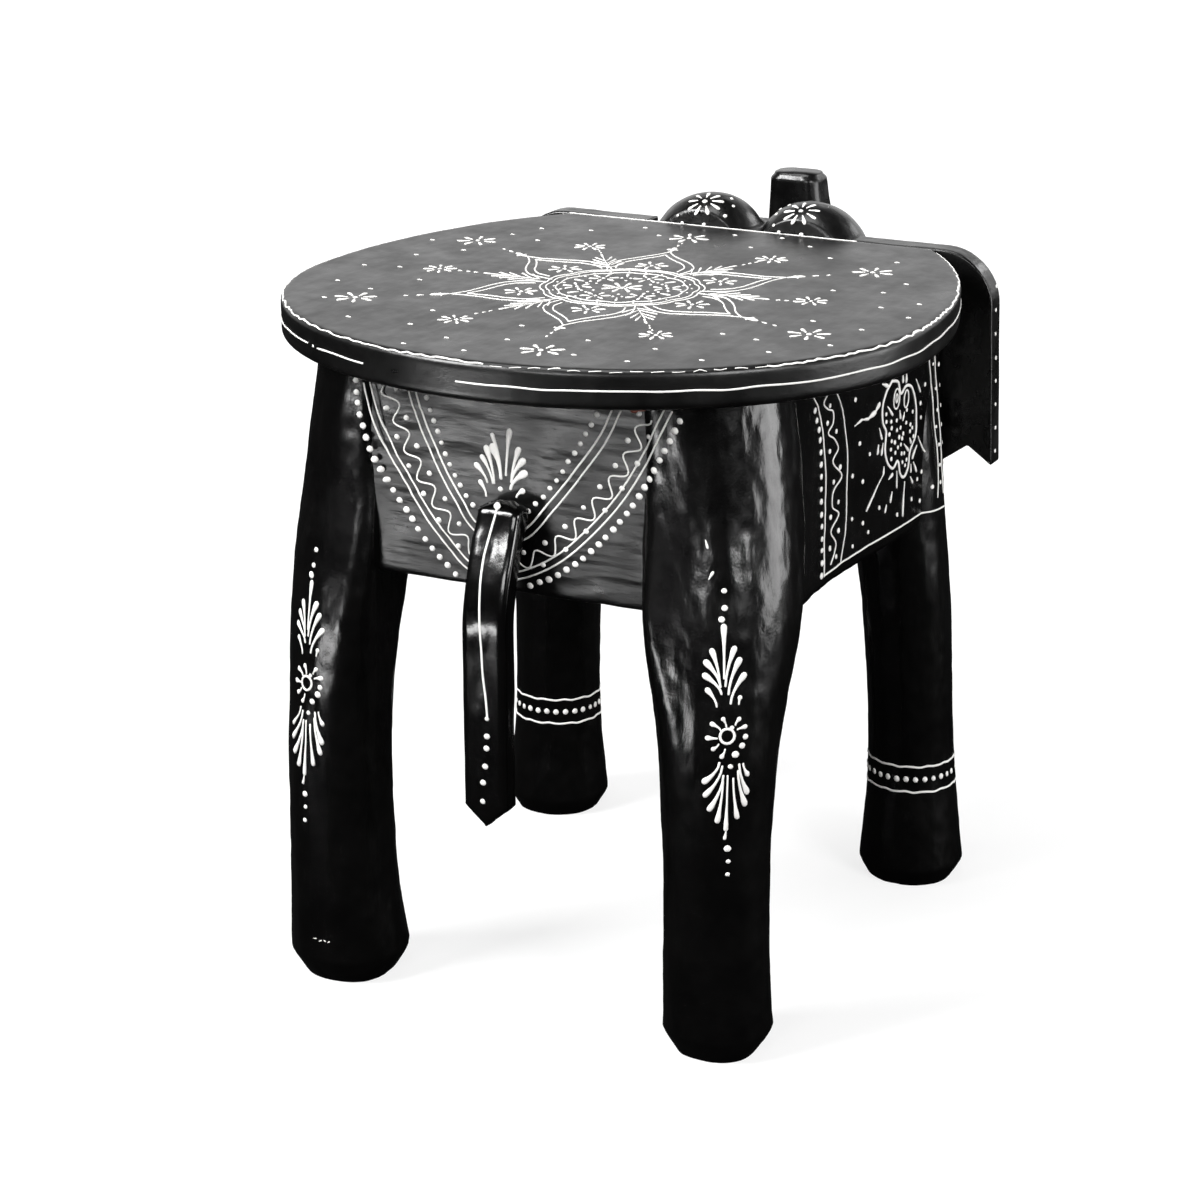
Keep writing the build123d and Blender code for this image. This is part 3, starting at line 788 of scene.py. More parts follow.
# A place at this radius and turn
def polar(radius, degrees):
    return np.array([radius * math.cos(math.radians(degrees)), radius * math.sin(math.radians(degrees))])


# Seat: a six-petalled star with sprigs between its petals, in polar mm about the pattern's middle
seatStar = {
    "middle": (0, -13),
    "outer": ((34.5, -28), (41, -27), (48, -24), (54, -18), (60, -10), (66, -4), (74, 0), (66, 4), (60, 10),
        (54, 17), (48, 23), (41, 26), (34.5, 28)),
    "inner": ((38.5, -22), (45, -20), (51, -15), (56, -8.5), (61, -3.5), (67, 0), (61, 3.5), (56, 8),
        (51, 14), (45, 19), (38.5, 21)),
    "tipTurns": (36, 97, 158, 221, 279, 331), "sprigTurns": (2, 65, 125, 186, 246, 304),
    "tipFlowers": (115, 116, 113, 114, 105, 116), "sprigFlowers": (88, 91, 87, 84, 87, 84),
    "dots": ((130, 338), (113, 351), (89, 17), (90, 55), (110, 64), (115, 78), (133, 75), (129, 87),
        (105, 90), (82, 86), (120, 107), (96, 108), (129, 117), (110, 123), (131, 130), (93, 142),
        (108, 146), (128, 143), (100, 168), (91, 202), (110, 238), (100, 260), (119, 250), (125, 260),
        (119, 270), (108, 287), (124, 291), (119, 303), (128, 313), (103, 318), (120, 321), (103, 340),
        (106, 4), (112, 201), (115, 187), (123, 209), (129, 192), (131, 181), (124, 168), (132, 228),
        (124, 20), (128, 35), (108, 28), (126, 52), (122, 5), (132, 155)),
}


# Seat sprig, growing away from the pattern's middle along its own first direction
def seatSprig():
    marks = line([(39, 0), (60, 0)], 0.22) + leaf((59, 0), (66, 0), 0.6)
    for at, out, spread in ((40, 6, 7), (44, 7, 6.6), (48.5, 7.5, 5.2), (53.5, 7, 3.8)):
        marks += [m for side in (-1, 1) for m in leaf((at, side * 0.6), (at + out, side * spread), 0.5)]
    return marks + [m for at in (69.5, 73.2, 77) for m in leaf((at, 0), (at + 1.6, 0), 0.5)]


def seatMarks():
    marks = []
    for k, turn in enumerate(seatStar["tipTurns"]):
        for key in ("outer", "inner"):
            ring = [polar(radius, turn + offset) for radius, offset in seatStar[key]]
            half = len(ring) // 2
            marks += line(ring[:half + 1], 0.36) + line(ring[half:], 0.36)
        marks += flower(polar(44, turn), 7, 7, turn) + leaf(polar(75, turn), polar(82, turn), 1.3)
        marks += leaf(polar(78.5, turn - 1.6), polar(78.5, turn + 1.6), 0.9)
        marks += leaf(polar(86, turn), polar(88.5, turn), 0.6)
        marks += leaf(polar(92.5, turn), polar(94, turn), 0.55)
        marks += flower(polar(seatStar["tipFlowers"][k], turn + (3 if k == 1 else 0)), 8.6, 7, turn * 2)
    for k, turn in enumerate(seatStar["sprigTurns"]):
        marks += moved(seatSprig(), (0, 0), math.radians(turn))
        marks += flower(polar(seatStar["sprigFlowers"][k], turn + (2 if k % 2 else 0)), 6.9, 8, turn)
    lobes = np.radians(np.arange(0, 361, 7.5))
    for radius, swing, count in ((34.3, 1.3, 12), (31.9, 1.2, 12), (27.6, 0.9, 12)):
        ring = [polar(radius + swing * abs(math.sin(count * q / 2)), math.degrees(q) + 7) for q in lobes]
        marks += line(ring, 0.33)
    marks += flower((0, 0), 8.5, 8) + flower((0, 0), 4.2, 6, 0.4)
    for turn in range(20, 380, 60):
        marks += flower(polar(19.5, turn), 6.2, 6, turn)
        marks += dots([polar(26.5, turn - 13), polar(26.5, turn + 13)], 0.7)
        marks += dots([polar(13.5, turn + 30), polar(18, turn + 24), polar(18, turn + 36)], 0.7)
        marks += leaf(polar(20.5, turn + 30), polar(25, turn + 30), 0.75)
        marks += dots([polar(29.8, turn + step) for step in (0, 15, 30, 45)], 0.5)
    for radius, turn in seatStar["dots"]:
        marks += leaf(polar(radius, turn) - (0.8, 0), polar(radius, turn) + (0.8, 0), 0.72)
    return moved(marks, seatStar["middle"]) + line([(92, -144.4), (30, -144.3), (-55, -144.6)], 0.42)


seatFace = surface(lambda a, b: np.stack([a, widestY + b, seatHigh[2] + 0 * a], -1), seatRough)
paintMarks("SeatStar", seatMarks(), seatFace, 71)


rimChart = 130 * mm  # the radius at which millimetres round the rim are counted


# Rim chart: mm round the edge from +X, and mm below the seat's top, over the rounded edge and down the side.
def rimBase(a, b):
    turn = a / rimChart
    drop = np.clip(-b, 0, None)
    q = np.arccos(np.clip(1 - drop / seat["edgeRound"], 0, 1))
    radius = seatRadius(turn) - seat["edgeRound"] * (1 - np.sin(q)) + np.minimum(-b, 0)
    return np.stack([radius * np.cos(turn), widestY + radius * np.sin(turn), seatHigh[2] - drop], -1)


rimFace = surface(rimBase, seatRough)
wobble = np.random.default_rng(72)


# Rim line: a run of short steps round the edge, each a little too high or too low.
def rimLine(start, end, drop, step, half):
    run = np.arange(start, end, step)
    return line(np.stack([run, -drop + wobble.uniform(-0.35, 0.35, len(run))], -1), half)


rimMarks = rimLine(-128, 215, 0.8, 2.4, 0.28) + rimLine(325, 536, 0.8, 2.4, 0.3)
rimMarks += [mark for start in range(216, 322, 8) for mark in rimLine(start, start + 7, 0.8, 2.4, 0.12)]
for start, end, step, half in ((-128, 117, 12, 0.42), (121, 154, 8, 0.4), (201, 536, 12, 0.42)):
    rimMarks += rimLine(start, end, 8.9, step, half)
paintMarks("RimLines", rimMarks + dots([(117, -8.9)], 0.8), rimFace, 73)

# Rump, in mm across and up: a hanging garland of double lines, dots and a wave, with a fan over the tail
rump = {
    "outer": ((69.3, 273), (65.3, 258.2), (59, 244.1), (50.5, 231.3), (42, 218.5), (32.3, 207.8),
        (22.9, 198.9), (10.8, 194.6), (-2.2, 197.5), (-19.3, 206.2), (-36.1, 221.3), (-50.6, 238.8),
        (-61.8, 257.5), (-71.9, 277.7)),
    "inner": ((49, 271.5), (44.4, 258.8), (38.2, 245.8), (32.9, 235.6), (27.1, 226.5), (19.7, 216.5),
        (9.5, 211), (-3.4, 214.3), (-19.4, 230.8), (-32, 247), (-43.4, 263.8), (-48.5, 274.9)),
    "outerDots": (((73.1, 273.9), (72, 261.9), (66.7, 245.9), (58.7, 231.2), (49, 217), (36.7, 203.1),
        (27.8, 195.3)), ((-7, 195.4), (-18, 200.5), (-36.6, 215.7), (-51.7, 232.7), (-61.2, 247.5),
        (-70, 263.3), (-75.5, 274.4))),
    "innerDots": (((40.4, 269.6), (36.6, 259.3), (30.9, 244.9), (22.7, 230.7), (19.3, 226.5)),
        ((-6.4, 227.5), (-16.3, 237.9), (-27, 253.6), (-32.7, 262.7), (-37.8, 272.2))),
    "wave": ((59.5, 273.5), (55.9, 264.5), (50.5, 250.5), (44.3, 238), (36.5, 226), (28.3, 215),
        (17, 205.7), (4, 203), (-10, 207.8), (-25, 219.5), (-39, 235.5), (-51, 253), (-60.5, 274)),
    "fan": ((13, 231.3, 15.6, 236.9, 1.2), (12.4, 237.3, 17.1, 244.1, 1.25),
        (10.2, 237.1, 14.9, 247.8, 1.2), (9.2, 237.2, 12.7, 251.5, 1.35), (5.9, 240.1, 9.4, 252.5, 1.9),
        (5.9, 240.1, 10, 257.7, 0.9), (3.8, 241.4, 2, 260.1, 1.25), (1.1, 239.3, -2.2, 252.9, 1.35),
        (1.1, 238.8, -4.2, 248.3, 1.4), (1.7, 235.8, -4.7, 243, 1.7), (-0.9, 232.7, -3.6, 235.5, 1.3)),
}


def rumpMarks():
    marks = line(rump["outer"]) + line(beside(rump["outer"], -3.3))
    marks += line(rump["inner"]) + line(beside(rump["inner"], -3.3))
    for key, radius in (("outerDots", 1.5), ("innerDots", 1.2)):
        marks += [mark for run in rump[key] for mark in dots(run, radius, 4.8)]
    marks += wave(rump["wave"], 2.9, 12.7, 1.25)
    return marks + strokes(club, rump["fan"]) + dots([(6.5, 235.1)], 1.2)


# The rump's painted face is the apron, or the leg beside it wherever that stands further out.
def legBack(x, z):
    inward, back, width, depth, corner, outer = legSection(rearLeg, z)
    out = abs(x) - (rearLeg["footX"] - inward)
    fall, stands = sideFall(out, width / 2, np.where(out > 0, outer, corner))
    return np.where(stands, rearLeg["footY"] + back + depth / 2 - fall, -1)


def rumpBase(x, z):
    return np.stack([x, np.maximum(rumpY, legBack(x, z)), z], -1)


def rumpPaintRough(points):
    return np.where(legBack(points[..., 0], points[..., 2]) > rumpY, legRough(points), rumpRough(points))


rumpFace = surface(rumpBase, rumpPaintRough, -1)
paintMarks("RumpGarland", rumpMarks(), rumpFace, 74)
paintMarks("RumpChip", leaf((-59, 276.6), (-53.5, 275.6), 1.1), rumpFace, 86, "bareChip")

# Tail: a long stroke and a row of dots, in mm across and up
tailMarks = {
    "stroke": ((1.4, 231.8), (2.8, 222.5), (3.7, 213.2), (3.4, 201.4), (2.4, 188.3), (1.6, 175.3),
        (1, 162.1), (-0.3, 152.5), (-0.9, 144.6)),
    "dots": ((-0.8, 137.1), (-0.6, 131.7), (0.3, 123.6), (1.2, 116.2), (1.7, 107.5)),
}
run = tailMarks["stroke"]
tailStroke = line(run, 0.5) + dots(run[:1], 1.5) + dots(run[-1:], 0.95) + dots(tailMarks["dots"], 1.3)
paintMarks("TailStroke", tailStroke, surface(tailBase, tailRough, -1), 75)

# Leg sprig about its ring, in mm to the side and up: fans of leaves above and below a flower
sprig = {
    "leaves": ((-4, 12.7, -7.8, 19.2, 1), (-2.2, 18, -9, 25.2, 1.1), (-2.6, 20.9, -8.4, 30.6, 1.1),
        (-2.8, 22.6, -5.8, 35.7, 1), (-0.4, 21.4, 3.5, 36.5, 1), (1.1, 18, 5.8, 31.7, 1.1),
        (1.8, 14, 7.6, 25.2, 1.1), (5.4, 13.3, 5.9, 15.9, 0.9), (-3, -11, -9.2, -19.2, 1),
        (-1.6, -12.4, -8.6, -24.8, 1.1), (-1.2, -16.2, -6.9, -30.6, 1.1), (-1.3, -18.7, -3.4, -35.6, 1),
        (0.8, -16.2, 0.4, -39, 0.8), (0.6, -37, -0.2, -43.2, 0.6), (3, -17.3, 5, -33.9, 1),
        (5.1, -14.5, 8.6, -28.7, 1.1), (5.6, -12.2, 9.4, -24.2, 1.1), (7.4, -11.6, 9.5, -16.2, 0.9),
        (-1, 24.3, -0.9, 45.4, 1.05), (-0.1, 4.1, -1.4, 7.4, 0.85), (-2.6, 2.8, -6, 5.1, 0.85),
        (-4.2, -0.6, -8.1, -0.7, 0.85), (-3.4, -3.1, -5.7, -5.2, 0.85), (-0.8, -5.2, -2.1, -8.2, 0.85),
        (4.7, 2.6, 8.2, 3.4, 0.85), (3.8, 4.5, 5.4, 6.9, 0.85)),
    "dots": ((2.2, 3.6, 0.9), (3.8, -7.6, 1.5), (6.8, -4.2, 1.5), (8, -0.8, 1.4), (1.8, -12.7, 1.15),
        (-0.6, 60.3, 1.25), (-0.5, 53.3, 1.25), (-1.6, 48.6, 1.5), (0.8, -47.7, 1.5), (1.5, -53.3, 1.15),
        (1.3, -59.2, 1.05)),
}


# Leg sprig, drawn longer or shorter and leaning aside by its own shares above and below the ring.
def sprigMarks(upScale, downScale, upLean, downLean, shift):
    marks = strokes(club, sprig["leaves"], 1.15)
    marks += [m for x, y, radius in sprig["dots"] for m in dots([(x, y)], radius)]
    marks += line([polar(3.1, turn) for turn in range(0, 361, 30)], 0.55)
    placed = []
    for path, widths in marks:
        high = path[:, 1] > 0
        across = path[:, 0] + shift + path[:, 1] * np.where(high, upLean, downLean)
        placed.append((np.stack([across, path[:, 1] * np.where(high, upScale, downScale)], -1), widths))
    return placed


legChart = 24 * mm  # the radius at which millimetres round a leg are counted


# Leg chart: mm round the leg from a turn, and mm up from a height.
def legFace(leg, side, turn, height, sense):
    base = legBase(leg, side)
    return surface(lambda a, b: base(turn + sense * a / legChart, height * mm + b), legRough, side * sense)


# Each sprig's turn round its leg, height and sense, then its two lengths, two leans and shift
legSprigs = {"rear_left_leg": (1.45, 142, 1, 0.96, 1.08, 0.05, 0.06, -1),
             "rear_right_leg": (1.0, 149.5, -1, 0.97, 1.01, -0.045, 0, -0.2)}
for name, (turn, height, sense, *scales) in legSprigs.items():
    leg, side = legs[name]
    place = legFace(leg, side, turn, height, sense)
    paintMarks(pieceName(name) + "Sprig", sprigMarks(*scales), place, 76 + sense)
scuffRuns = (((-4.2, 0.3), (-2.8, 0.6)), ((-1.4, -0.4), (-0.4, 0.2)),
             ((0.9, 0.4), (1.6, 0)), ((3, -0.2), (3.8, 0.3)))
paintMarks("RearLeftLegScuffs", leaves(scuffRuns, 0.32), legFace(stoutLeg, 1, 1.6, 22, 1), 87)
# Two small white dabs on the rear right leg, above its sprig
whiteDabs = leaf((-10.3, 78), (-9.6, 75), 0.5) + leaf((-9.4, 62.8), (-7.8, 65.6), 0.65)
paintMarks("RearRightLegWhiteDabs", whiteDabs, legFace(rearLeg, -1, 1.0, 149.5, -1), 88)

# Bands round the front legs: two wavering lines with a row of dots between them
bands = {"front_left_leg": 55.8, "front_right_leg": 54}
ring = np.arange(-4, 150, 4.0)
bandMarks = line(np.stack([ring, 6.2 + 0.3 * np.sin(ring)], -1), 0.55)
bandMarks += line(np.stack([ring, -6.2 + 0.3 * np.cos(ring)], -1), 0.55)
beads = np.arange(0, 147, 5.3)
bandMarks += dots(np.stack([beads, 0 * beads], -1), 1.5)
for name, height in bands.items():
    paintMarks(pieceName(name) + "Band", bandMarks, legFace(*legs[name], 0, height, 1), 78)

# Flanks, in mm along and up: a border at each end, a scalloped medallion and scattered leaves
flankPattern = {
    "rearLine": ((65.7, 270.2), (58.3, 263.1), (53.3, 253.6), (49.9, 242.6), (47.7, 231.8), (47.4, 221.4),
        (48, 210.6), (48.3, 201), (47.8, 187.2)),
    "rearDots": ((62.7, 263.5), (56.6, 252.6), (53.9, 242.4), (52.4, 230), (52.2, 221.5), (51.3, 210.9),
        (50.3, 200.8), (50.3, 188)),
    "wave": ((49, 267.1), (52.8, 264.3), (47, 260), (42, 257.9), (41.7, 252.7), (46.1, 249.9), (38, 244.4),
        (34.4, 240), (39.9, 236.2), (30.3, 226.6), (39.7, 220.7), (40.3, 216.3), (32.9, 210.7),
        (41.2, 204.8), (35.3, 197.9), (41.1, 190.4)),
    "waveDots": ((45.1, 261.1), (47.4, 254.4), (37.3, 248), (43.4, 241), (31.7, 231.2), (37.9, 226),
        (33.2, 216.3), (41.4, 211.2), (32.7, 202.9), (41.7, 197.8), (35.2, 192.3)),
    "foreLine": ((38.5, 265.3), (31.4, 255.9), (26.8, 244.5), (24.1, 233.5), (24.4, 220.5), (24.7, 204.2),
        (29.4, 188.4)),
    "medallion": ((-20, 257), (-13.5, 252.5), (-10.9, 246), (-12, 240), (-16.5, 235), (-15.5, 226),
        (-19.5, 218.9), (-24.1, 216.4), (-29.3, 218.4), (-33, 211.5), (-38.1, 208.7), (-44.1, 212.5),
        (-45.4, 218.3), (-52.3, 223.8), (-53, 232.4), (-49.9, 242.1), (-44, 249), (-36.5, 250.5),
        (-32, 248.5), (-28, 254.5), (-20, 257)),
    "ovals": ((-26.9, 247.8, 3.4, 4.6), (-38.6, 244.5, 3, 4), (-26.9, 247.8, 1.2, 2)),
    "fill": ((-15.5, 243.2), (-16.2, 239.4), (-21.8, 238.4), (-27.7, 237.2), (-28.6, 232.7), (-33.1, 232.6),
        (-22.1, 235.3), (-31.1, 228.7), (-36.4, 229.4), (-34.7, 227.5), (-40, 233.2), (-44.8, 231.4),
        (-47.2, 229.1), (-44.5, 228.4), (-49.4, 224.5), (-22.6, 229.2), (-25.9, 227.7), (-21.6, 225.4),
        (-26.2, 222.9), (-22, 221.3), (-34.4, 220.5), (-38.1, 219.5), (-35.7, 216.4), (-41.1, 216),
        (-39.1, 213.5), (-39.9, 239.3), (-19.8, 232.9), (-33.5, 224.8), (-29.5, 224.5), (-47.5, 236.5)),
    "leaves": ((-17, 246.2, -23, 241.1, 0.8), (-31, 240.8, -32.2, 237, 0.8),
        (-37, 238.8, -35.9, 235.6, 0.8), (-37.7, 224, -43.5, 219.6, 0.8), (-44.8, 225.3, -46.8, 222.7, 0.7),
        (-56.5, 222.7, -65.1, 213.3, 0.6), (-51.4, 212, -54.6, 207.1, 0.9),
        (-55.9, 218.7, -50.3, 214.4, 0.9), (-47.7, 212.3, -47.5, 208.9, 0.7),
        (-50.5, 250.8, -57.3, 243.5, 0.6), (-8.5, 238.3, -11.5, 232.8, 0.7),
        (-8.1, 231.1, -7.4, 227.5, 0.9), (-13, 230.6, -11.7, 225.9, 0.7), (-20, 212.4, -23.8, 213.6, 1.1),
        (-14.2, 219.6, -13.6, 216.4, 0.9), (-13.6, 216.4, 2.7, 204.1, 0.7),
        (-39.2, 206.3, -36.9, 191.2, 0.8), (-28.8, 213.8, -29.4, 206.2, 0.7),
        (-24.1, 205.6, -22.6, 201.5, 0.8), (-17.9, 201.2, -16.4, 198.4, 0.7), (17.5, 245.5, 10, 246.6, 0.7),
        (10, 246.6, 3.1, 245.4, 0.8), (3.1, 245.4, -3.6, 246.5, 1.3), (-3.6, 246.5, -7.5, 249.5, 1.2),
        (-9.7, 258.1, -15.8, 255.8, 1.1), (-18, 261, -19.6, 258.8, 0.8), (-32.3, 257.5, -33.4, 253.4, 0.9),
        (-36.9, 256, -37.2, 252.8, 1.1), (20.3, 266.6, 9.4, 264.5, 0.6), (-47, 206.5, -50, 203, 0.8)),
    "scatter": ((17.4, 257.2), (11.5, 236.2), (0.3, 228.8), (18.1, 223.6), (7, 218.2), (18, 204.2),
        (6.3, 199.1), (-10.4, 201.9), (0.8, 193.9), (17.6, 191.9), (-30.1, 193.4), (-48.2, 195.8),
        (-60.1, 191.8), (-62.1, 205.1), (-56.2, 203.1), (-69.4, 196.3), (-64.4, 244.8), (-60, 231),
        (-58.3, 237.6)),
    "frontLines": (((-66.1, 262.1), (-73.2, 240), (-75.6, 222.6), (-76.8, 207.6), (-74.7, 190)),
        ((-76.6, 260), (-80.6, 232), (-81.5, 213.4), (-82.2, 190.3))),
    "frontDots": ((-75, 252), (-78.5, 240), (-79.4, 229.7), (-77.5, 222.5), (-79, 213.5), (-79, 204),
        (-78.5, 196)),
    "edgeDots": ((-83, 250), (-85, 240), (-86.5, 230), (-87, 221), (-87.7, 212.4), (-87, 203),
        (-86.6, 195.6)),
    "bottom": ((47.8, 187.4), (29.4, 187.9), (9.3, 190.6), (-9.5, 192), (-30, 191.7), (-50, 190.4),
        (-66.9, 189.1), (-82.6, 187)),
}


def flankMarks():
    pattern = flankPattern
    marks = [mark for key in ("rearLine", "foreLine", "wave") for mark in line(pattern[key])]
    marks += line(pattern["medallion"], 0.65) + dots(pattern["rearDots"], 1.45, 5.6)
    dotted = {"waveDots": 1.3, "fill": 1.1, "scatter": 1.15, "frontDots": 1, "edgeDots": 1.2}
    marks += [mark for key, radius in dotted.items() for mark in dots(pattern[key], radius)]
    marks += strokes(leaf, pattern["leaves"])
    marks += [m for run in pattern["frontLines"] for m in line(run)]
    turns = np.linspace(0, 2 * np.pi, 13)
    for x, y, wide, high in pattern["ovals"]:
        marks += line([(x + wide * math.cos(q), y + high * math.sin(q)) for q in turns], 0.42)
    low = np.array(pattern["bottom"])
    low[:, 1] = flankBottom(low[:, 0] * mm) / mm + flank["bevelUp"] / mm + 0.2
    return marks + line(low)


# Outer side of a front leg: its section's reach at each place along the flank.
def legSide(leg, y, z):
    inward, back, width, depth, corner, _ = legSection(leg, z)
    fall, stands = sideFall(y - leg["footY"] - back, depth / 2, corner)
    return np.where(stands, leg["footX"] - inward + width / 2 - fall, 0)


# The flank's painted face is the board, or the front leg beside it wherever that stands further out.
def sideFace(leg, side):
    def base(y, z):
        board = flankBase(side)(y, z)
        return np.stack([side * np.maximum(abs(board[..., 0]), legSide(leg, y, z)), y, z], -1)

    def rough(points):
        y, z = points[..., 1], points[..., 2]
        over = legSide(leg, y, z) > abs(flankBase(side)(y, z)[..., 0])
        return np.where(over, legRough(points), flankRough(points))
    return surface(base, rough, side)


paintMarks("RightFlankGarden", flankMarks(), sideFace(strayLeg, -1), 79)
paintMarks("LeftFlankGarden", flankMarks(), sideFace(frontLeg, 1), 80)


# Forehead balls: mm across and along from each ball's top, laid on its sphere.
def ballFace(side, lean):
    middle = np.array([side * head["domeX"], head["domeY"], head["domeZ"]])
    up = np.array([0, math.sin(lean), math.cos(lean)])
    onward = np.array([0, -math.cos(lean), math.sin(lean)])

    def base(a, b):
        way = head["domeRadius"] * up + a[..., None] * np.array([1, 0, 0]) + b[..., None] * onward
        return middle + head["domeRadius"] * way / np.linalg.norm(way, axis=-1, keepdims=True)
    return surface(base, headRough, -1)


ballDots = ((-14, -6), (-15, 4), (14, -9), (16, 1), (12, 10), (-11, 11), (-5, -15), (9, -15), (18, 9))
ballMarks = flower((0, 0), 9, 9) + dots(ballDots, 1.2)
for name, side, seed in (("Left", 1, 81), ("Right", -1, 82)):
    paintMarks(name + "ForeheadFlower", ballMarks, ballFace(side, 0.42), seed)


# Ears: a border of dots and a flower on the face in front, dots down the outer edge.
def earFace(side):
    return surface(lambda a, b: np.stack([side * a, earLow.y + 0 * a, b], -1), earRough, side)


def earEdge(side):
    def base(a, b):
        share = np.clip((earHigh.z - ear["round"] - b) / (earHigh.z - ear["round"] - earLow.z), 0, 1)
        out = ear["topX"] + share * (earHigh.x - ear["topX"]) - ear["inset"]
        return np.stack([side * out, earLow.y + a, b], -1)
    return surface(base, earRough, side)


earPaint = {
    "border": ((58, 292), (70, 293.5), (84, 293.5), (98, 293.5), (108, 288), (114.5, 279), (116, 266),
               (116.5, 252), (117, 238), (117.5, 224)),
    "stalks": (((86, 235), (86, 222)), ((84, 234), (75, 224)), ((88, 234), (97, 224))),
    "scatter": ((60, 275), (60, 240), (68, 215), (104, 215), (108, 270), (66, 262), (106, 240)),
}
earMarks = dots(earPaint["border"], 1.2, 5.6) + flower((86, 254), 13, 8) + flower((86, 254), 6, 8, 0.4)
earMarks += leaves(earPaint["stalks"], 1.4) + dots(earPaint["scatter"], 1.1)
for name, side, seed in (("Left", 1, 83), ("Right", -1, 84)):
    paintMarks(name + "EarFlower", earMarks, earFace(side), seed)
    paintMarks(name + "EarEdge", dots(((6, 284), (6, 207)), 1.05, 10.6), earEdge(side), seed + 10)


# Head's front: walks from the chest to the front until the head's field is zero.
def headFront(a, b):
    near, far = np.full(a.shape, chestY - 2 * mm), np.full(a.shape, chestY - 60 * mm)
    y = fieldEdge(lambda y: headField(np.stack([a, y, b], -1)), near, far, 24)
    return np.stack([a, y, b], -1)


# Eyes, in mm across and up on the head's front: an almond outline round a dot, lashed with short strokes
almond = [(25 + 8 * math.cos(q), 262 + 3.4 * math.sin(q)) for q in np.linspace(0, 2 * np.pi, 15)]
lashes = [((x, 267.5 + 0.02 * (x - 25)), (x + (x - 25) * 0.3, 271.5)) for x in (19, 22, 25, 28, 31)]
eyeMarks = line(almond, 0.5) + dots([(25, 262)], 1.5) + leaves(lashes, 0.7)
eyeMarks += dots([(12, 250), (20, 250), (34, 246)], 1)
paintMarks("Eyes", eyeMarks + mirrored(eyeMarks), surface(headFront, headRough), 85)
print("ornament made")


stage = {
    "floorHalf": 6, "camera": (-0.58507, 1.23521, 0.60580), "forward": (0.42182, -0.84896, -0.31833),
    "lens": 94.97, "floorGlow": 0.74, "farGlow": 1.0, "floorTone": 0.3, "floorEcho": 0.01, "roomLow": 0.02,
    "roomGlow": 1.1, "sheen": (0.38, 0.8, 0.2, 0.2, 18), "glowAt": (0.4, 1.3),
}


# The floor is a dim surface that takes shadows, with a pale glow that only the camera sees. Gloss sees one
# bright oval on it, which is full in its middle and fades to its edge.
def stageMaterial():
    made = bpy.data.materials.new("paleFloor")
    tree = emptyTree(made)
    rays = nodeIn(tree, "LightPath").outputs
    place = nodeIn(tree, "TexCoord").outputs["Object"]
    far = nodeIn(tree, "VectorMath", {0: place}, operation="LENGTH").outputs["Value"]
    glow = ranged(tree, far, *stage["glowAt"], stage["floorGlow"], stage["farGlow"])
    strength = sums(tree, "MULTIPLY", rays["Is Camera Ray"], glow)
    x, y, wide, deep, bright = stage["sheen"]
    shift = {"Location": (-x / wide, -y / deep, 0), "Scale": (1 / wide, 1 / deep, 1)}
    local = nodeIn(tree, "Mapping", {"Vector": place, **shift}).outputs[0]
    off = nodeIn(tree, "VectorMath", {0: local}, operation="LENGTH").outputs["Value"]
    oval = ranged(tree, off, 1, 0.5, 0, bright)
    strength = sums(tree, "MULTIPLY_ADD", rays["Is Glossy Ray"], oval, strength)
    tone = ranged(tree, rays["Is Camera Ray"], 0, 1, stage["floorEcho"], stage["floorTone"])
    lit = nodeIn(tree, "BsdfDiffuse", {"Color": tone})
    glowing = nodeIn(tree, "Emission", {"Color": (1, 1, 1, 1), "Strength": strength})
    both = nodeIn(tree, "AddShader", {0: lit.outputs[0], 1: glowing.outputs[0]})
    nodeIn(tree, "OutputMaterial", {"Surface": both.outputs[0]})
    return made


half = stage["floorHalf"]
floorMesh = bpy.data.meshes.new("Floor")
corners = [(-half, -half, 0), (half, -half, 0), (half, half, 0), (-half, half, 0)]
floorMesh.from_pydata(corners, [], [(0, 1, 2, 3)])
floor = newObject("Floor", floorMesh)
floor.data.materials.append(stageMaterial())


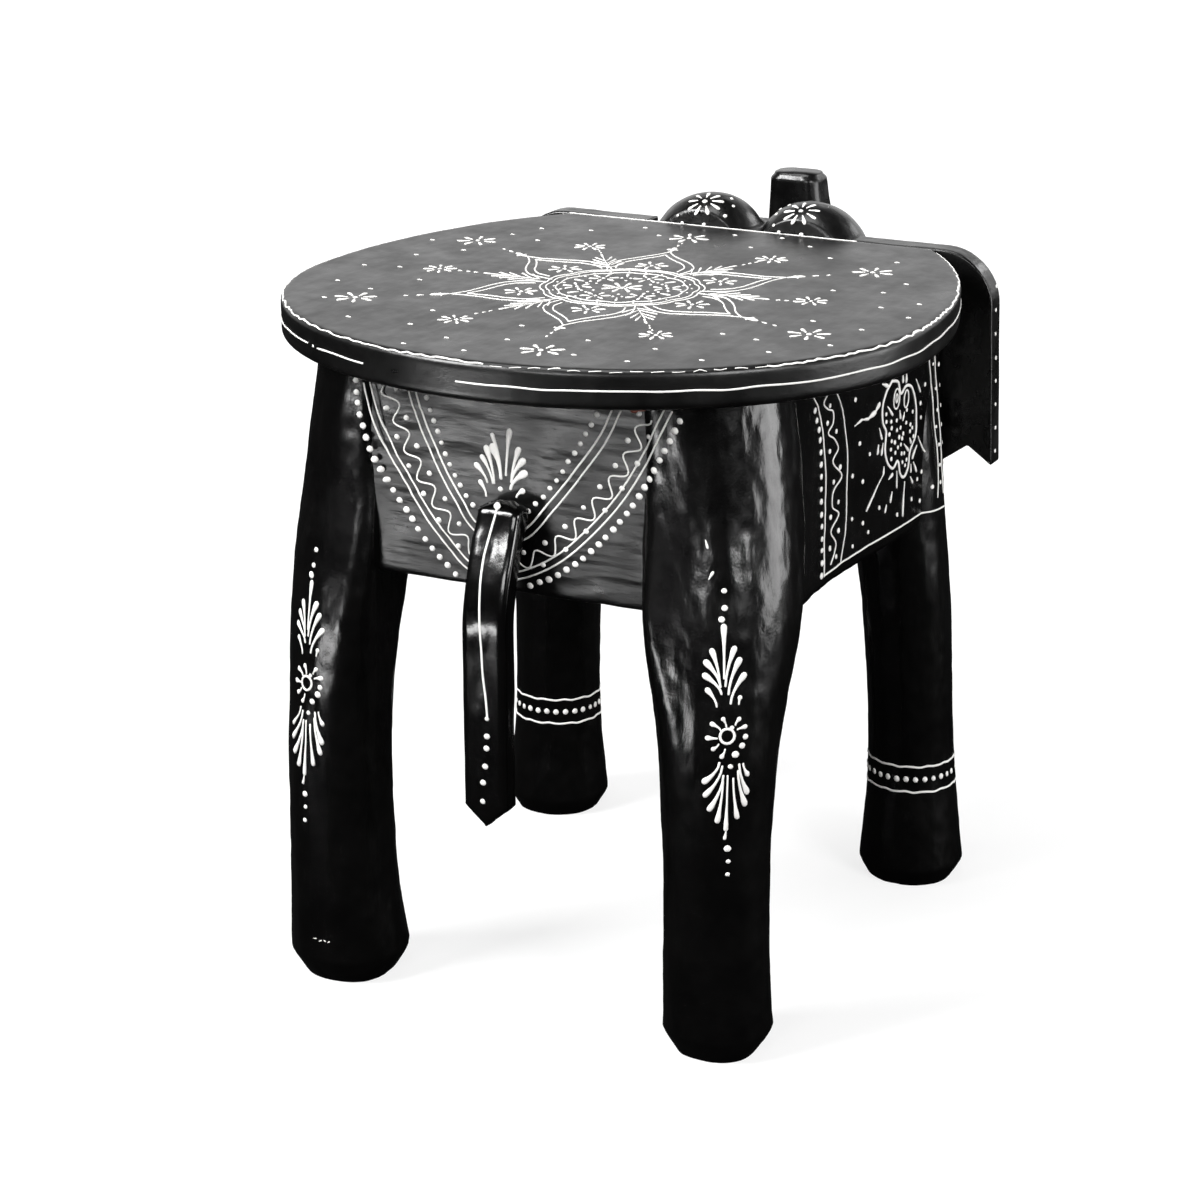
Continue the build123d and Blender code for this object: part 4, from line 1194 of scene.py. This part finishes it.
# A soft box at a place, turned to its target: sizes in metres and power in watts
def softBox(name, place, target, size, power):
    light = bpy.data.lights.new(name, "AREA")
    light.shape, light.size, light.size_y, light.energy = "RECTANGLE", size[0], size[1], power
    turned = (Vector(place) - Vector(target)).to_track_quat("Z", "Y").to_matrix().to_4x4()
    newObject(name, light).matrix_world = Matrix.Translation(place) @ turned


softBox("KeyLight", (1.3, 1.6, 1.65), (0, 0, 0.15), (1.0, 1.0), 98)
softBox("SideLight", (-1.9, 1.1, 1.1), (0, 0, 0.15), (0.9, 0.9), 36)
softBox("TopLight", (0.3, 0.2, 2.4), (0, 0, 0.15), (1.3, 1.3), 30)
softBox("FillLight", (-0.1, 1.9, 0.75), (0, 0, 0.2), (0.6, 0.4), 9)
softBox("EdgeLight", (-0.75, -1.7, 1.1), (-0.14, 0, 0.29), (0.35, 0.35), 3)
softBox("ThighLight", (-1.38, -0.34, 0.2), (-0.108, 0.123, 0.2), (1.0, 0.36), 7.5)

# A dark room with a pale wall beyond the elephant's head, while the camera itself sees white.
world = bpy.data.worlds.new("Studio")
bpy.context.scene.world = world
tree = emptyTree(world)
way = nodeIn(tree, "TexCoord").outputs["Generated"]
parts = nodeIn(tree, "SeparateXYZ", {0: way}).outputs
wall = ranged(tree, parts[1], 0.1, -0.6, 0, 1)
fade = ranged(tree, parts[2], 0.75, 0.3, 0, 1)
glow = sums(tree, "MULTIPLY", wall, fade)
level = sums(tree, "MULTIPLY_ADD", glow, stage["roomGlow"], stage["roomLow"])
seen = nodeIn(tree, "LightPath").outputs["Is Camera Ray"]
strength = nodeIn(tree, "Mix", {0: seen, 2: level, 3: 1.0})
room = nodeIn(tree, "Background", {"Color": (1, 1, 1, 1), "Strength": strength.outputs[0]})
nodeIn(tree, "OutputWorld", {"Surface": room.outputs[0]})

camera = newObject("Camera", bpy.data.cameras.new("Camera"))
camera.data.lens, camera.data.sensor_width = stage["lens"], 36
forward = Vector(stage["forward"]).normalized()
right = forward.cross(Vector((0, 0, 1))).normalized()
upward = right.cross(forward)
turned = Matrix((right, upward, -forward)).transposed().to_4x4()
camera.matrix_world = Matrix.Translation(stage["camera"]) @ turned
bpy.context.scene.camera = camera
bpy.context.scene.view_settings.view_transform = "Standard"
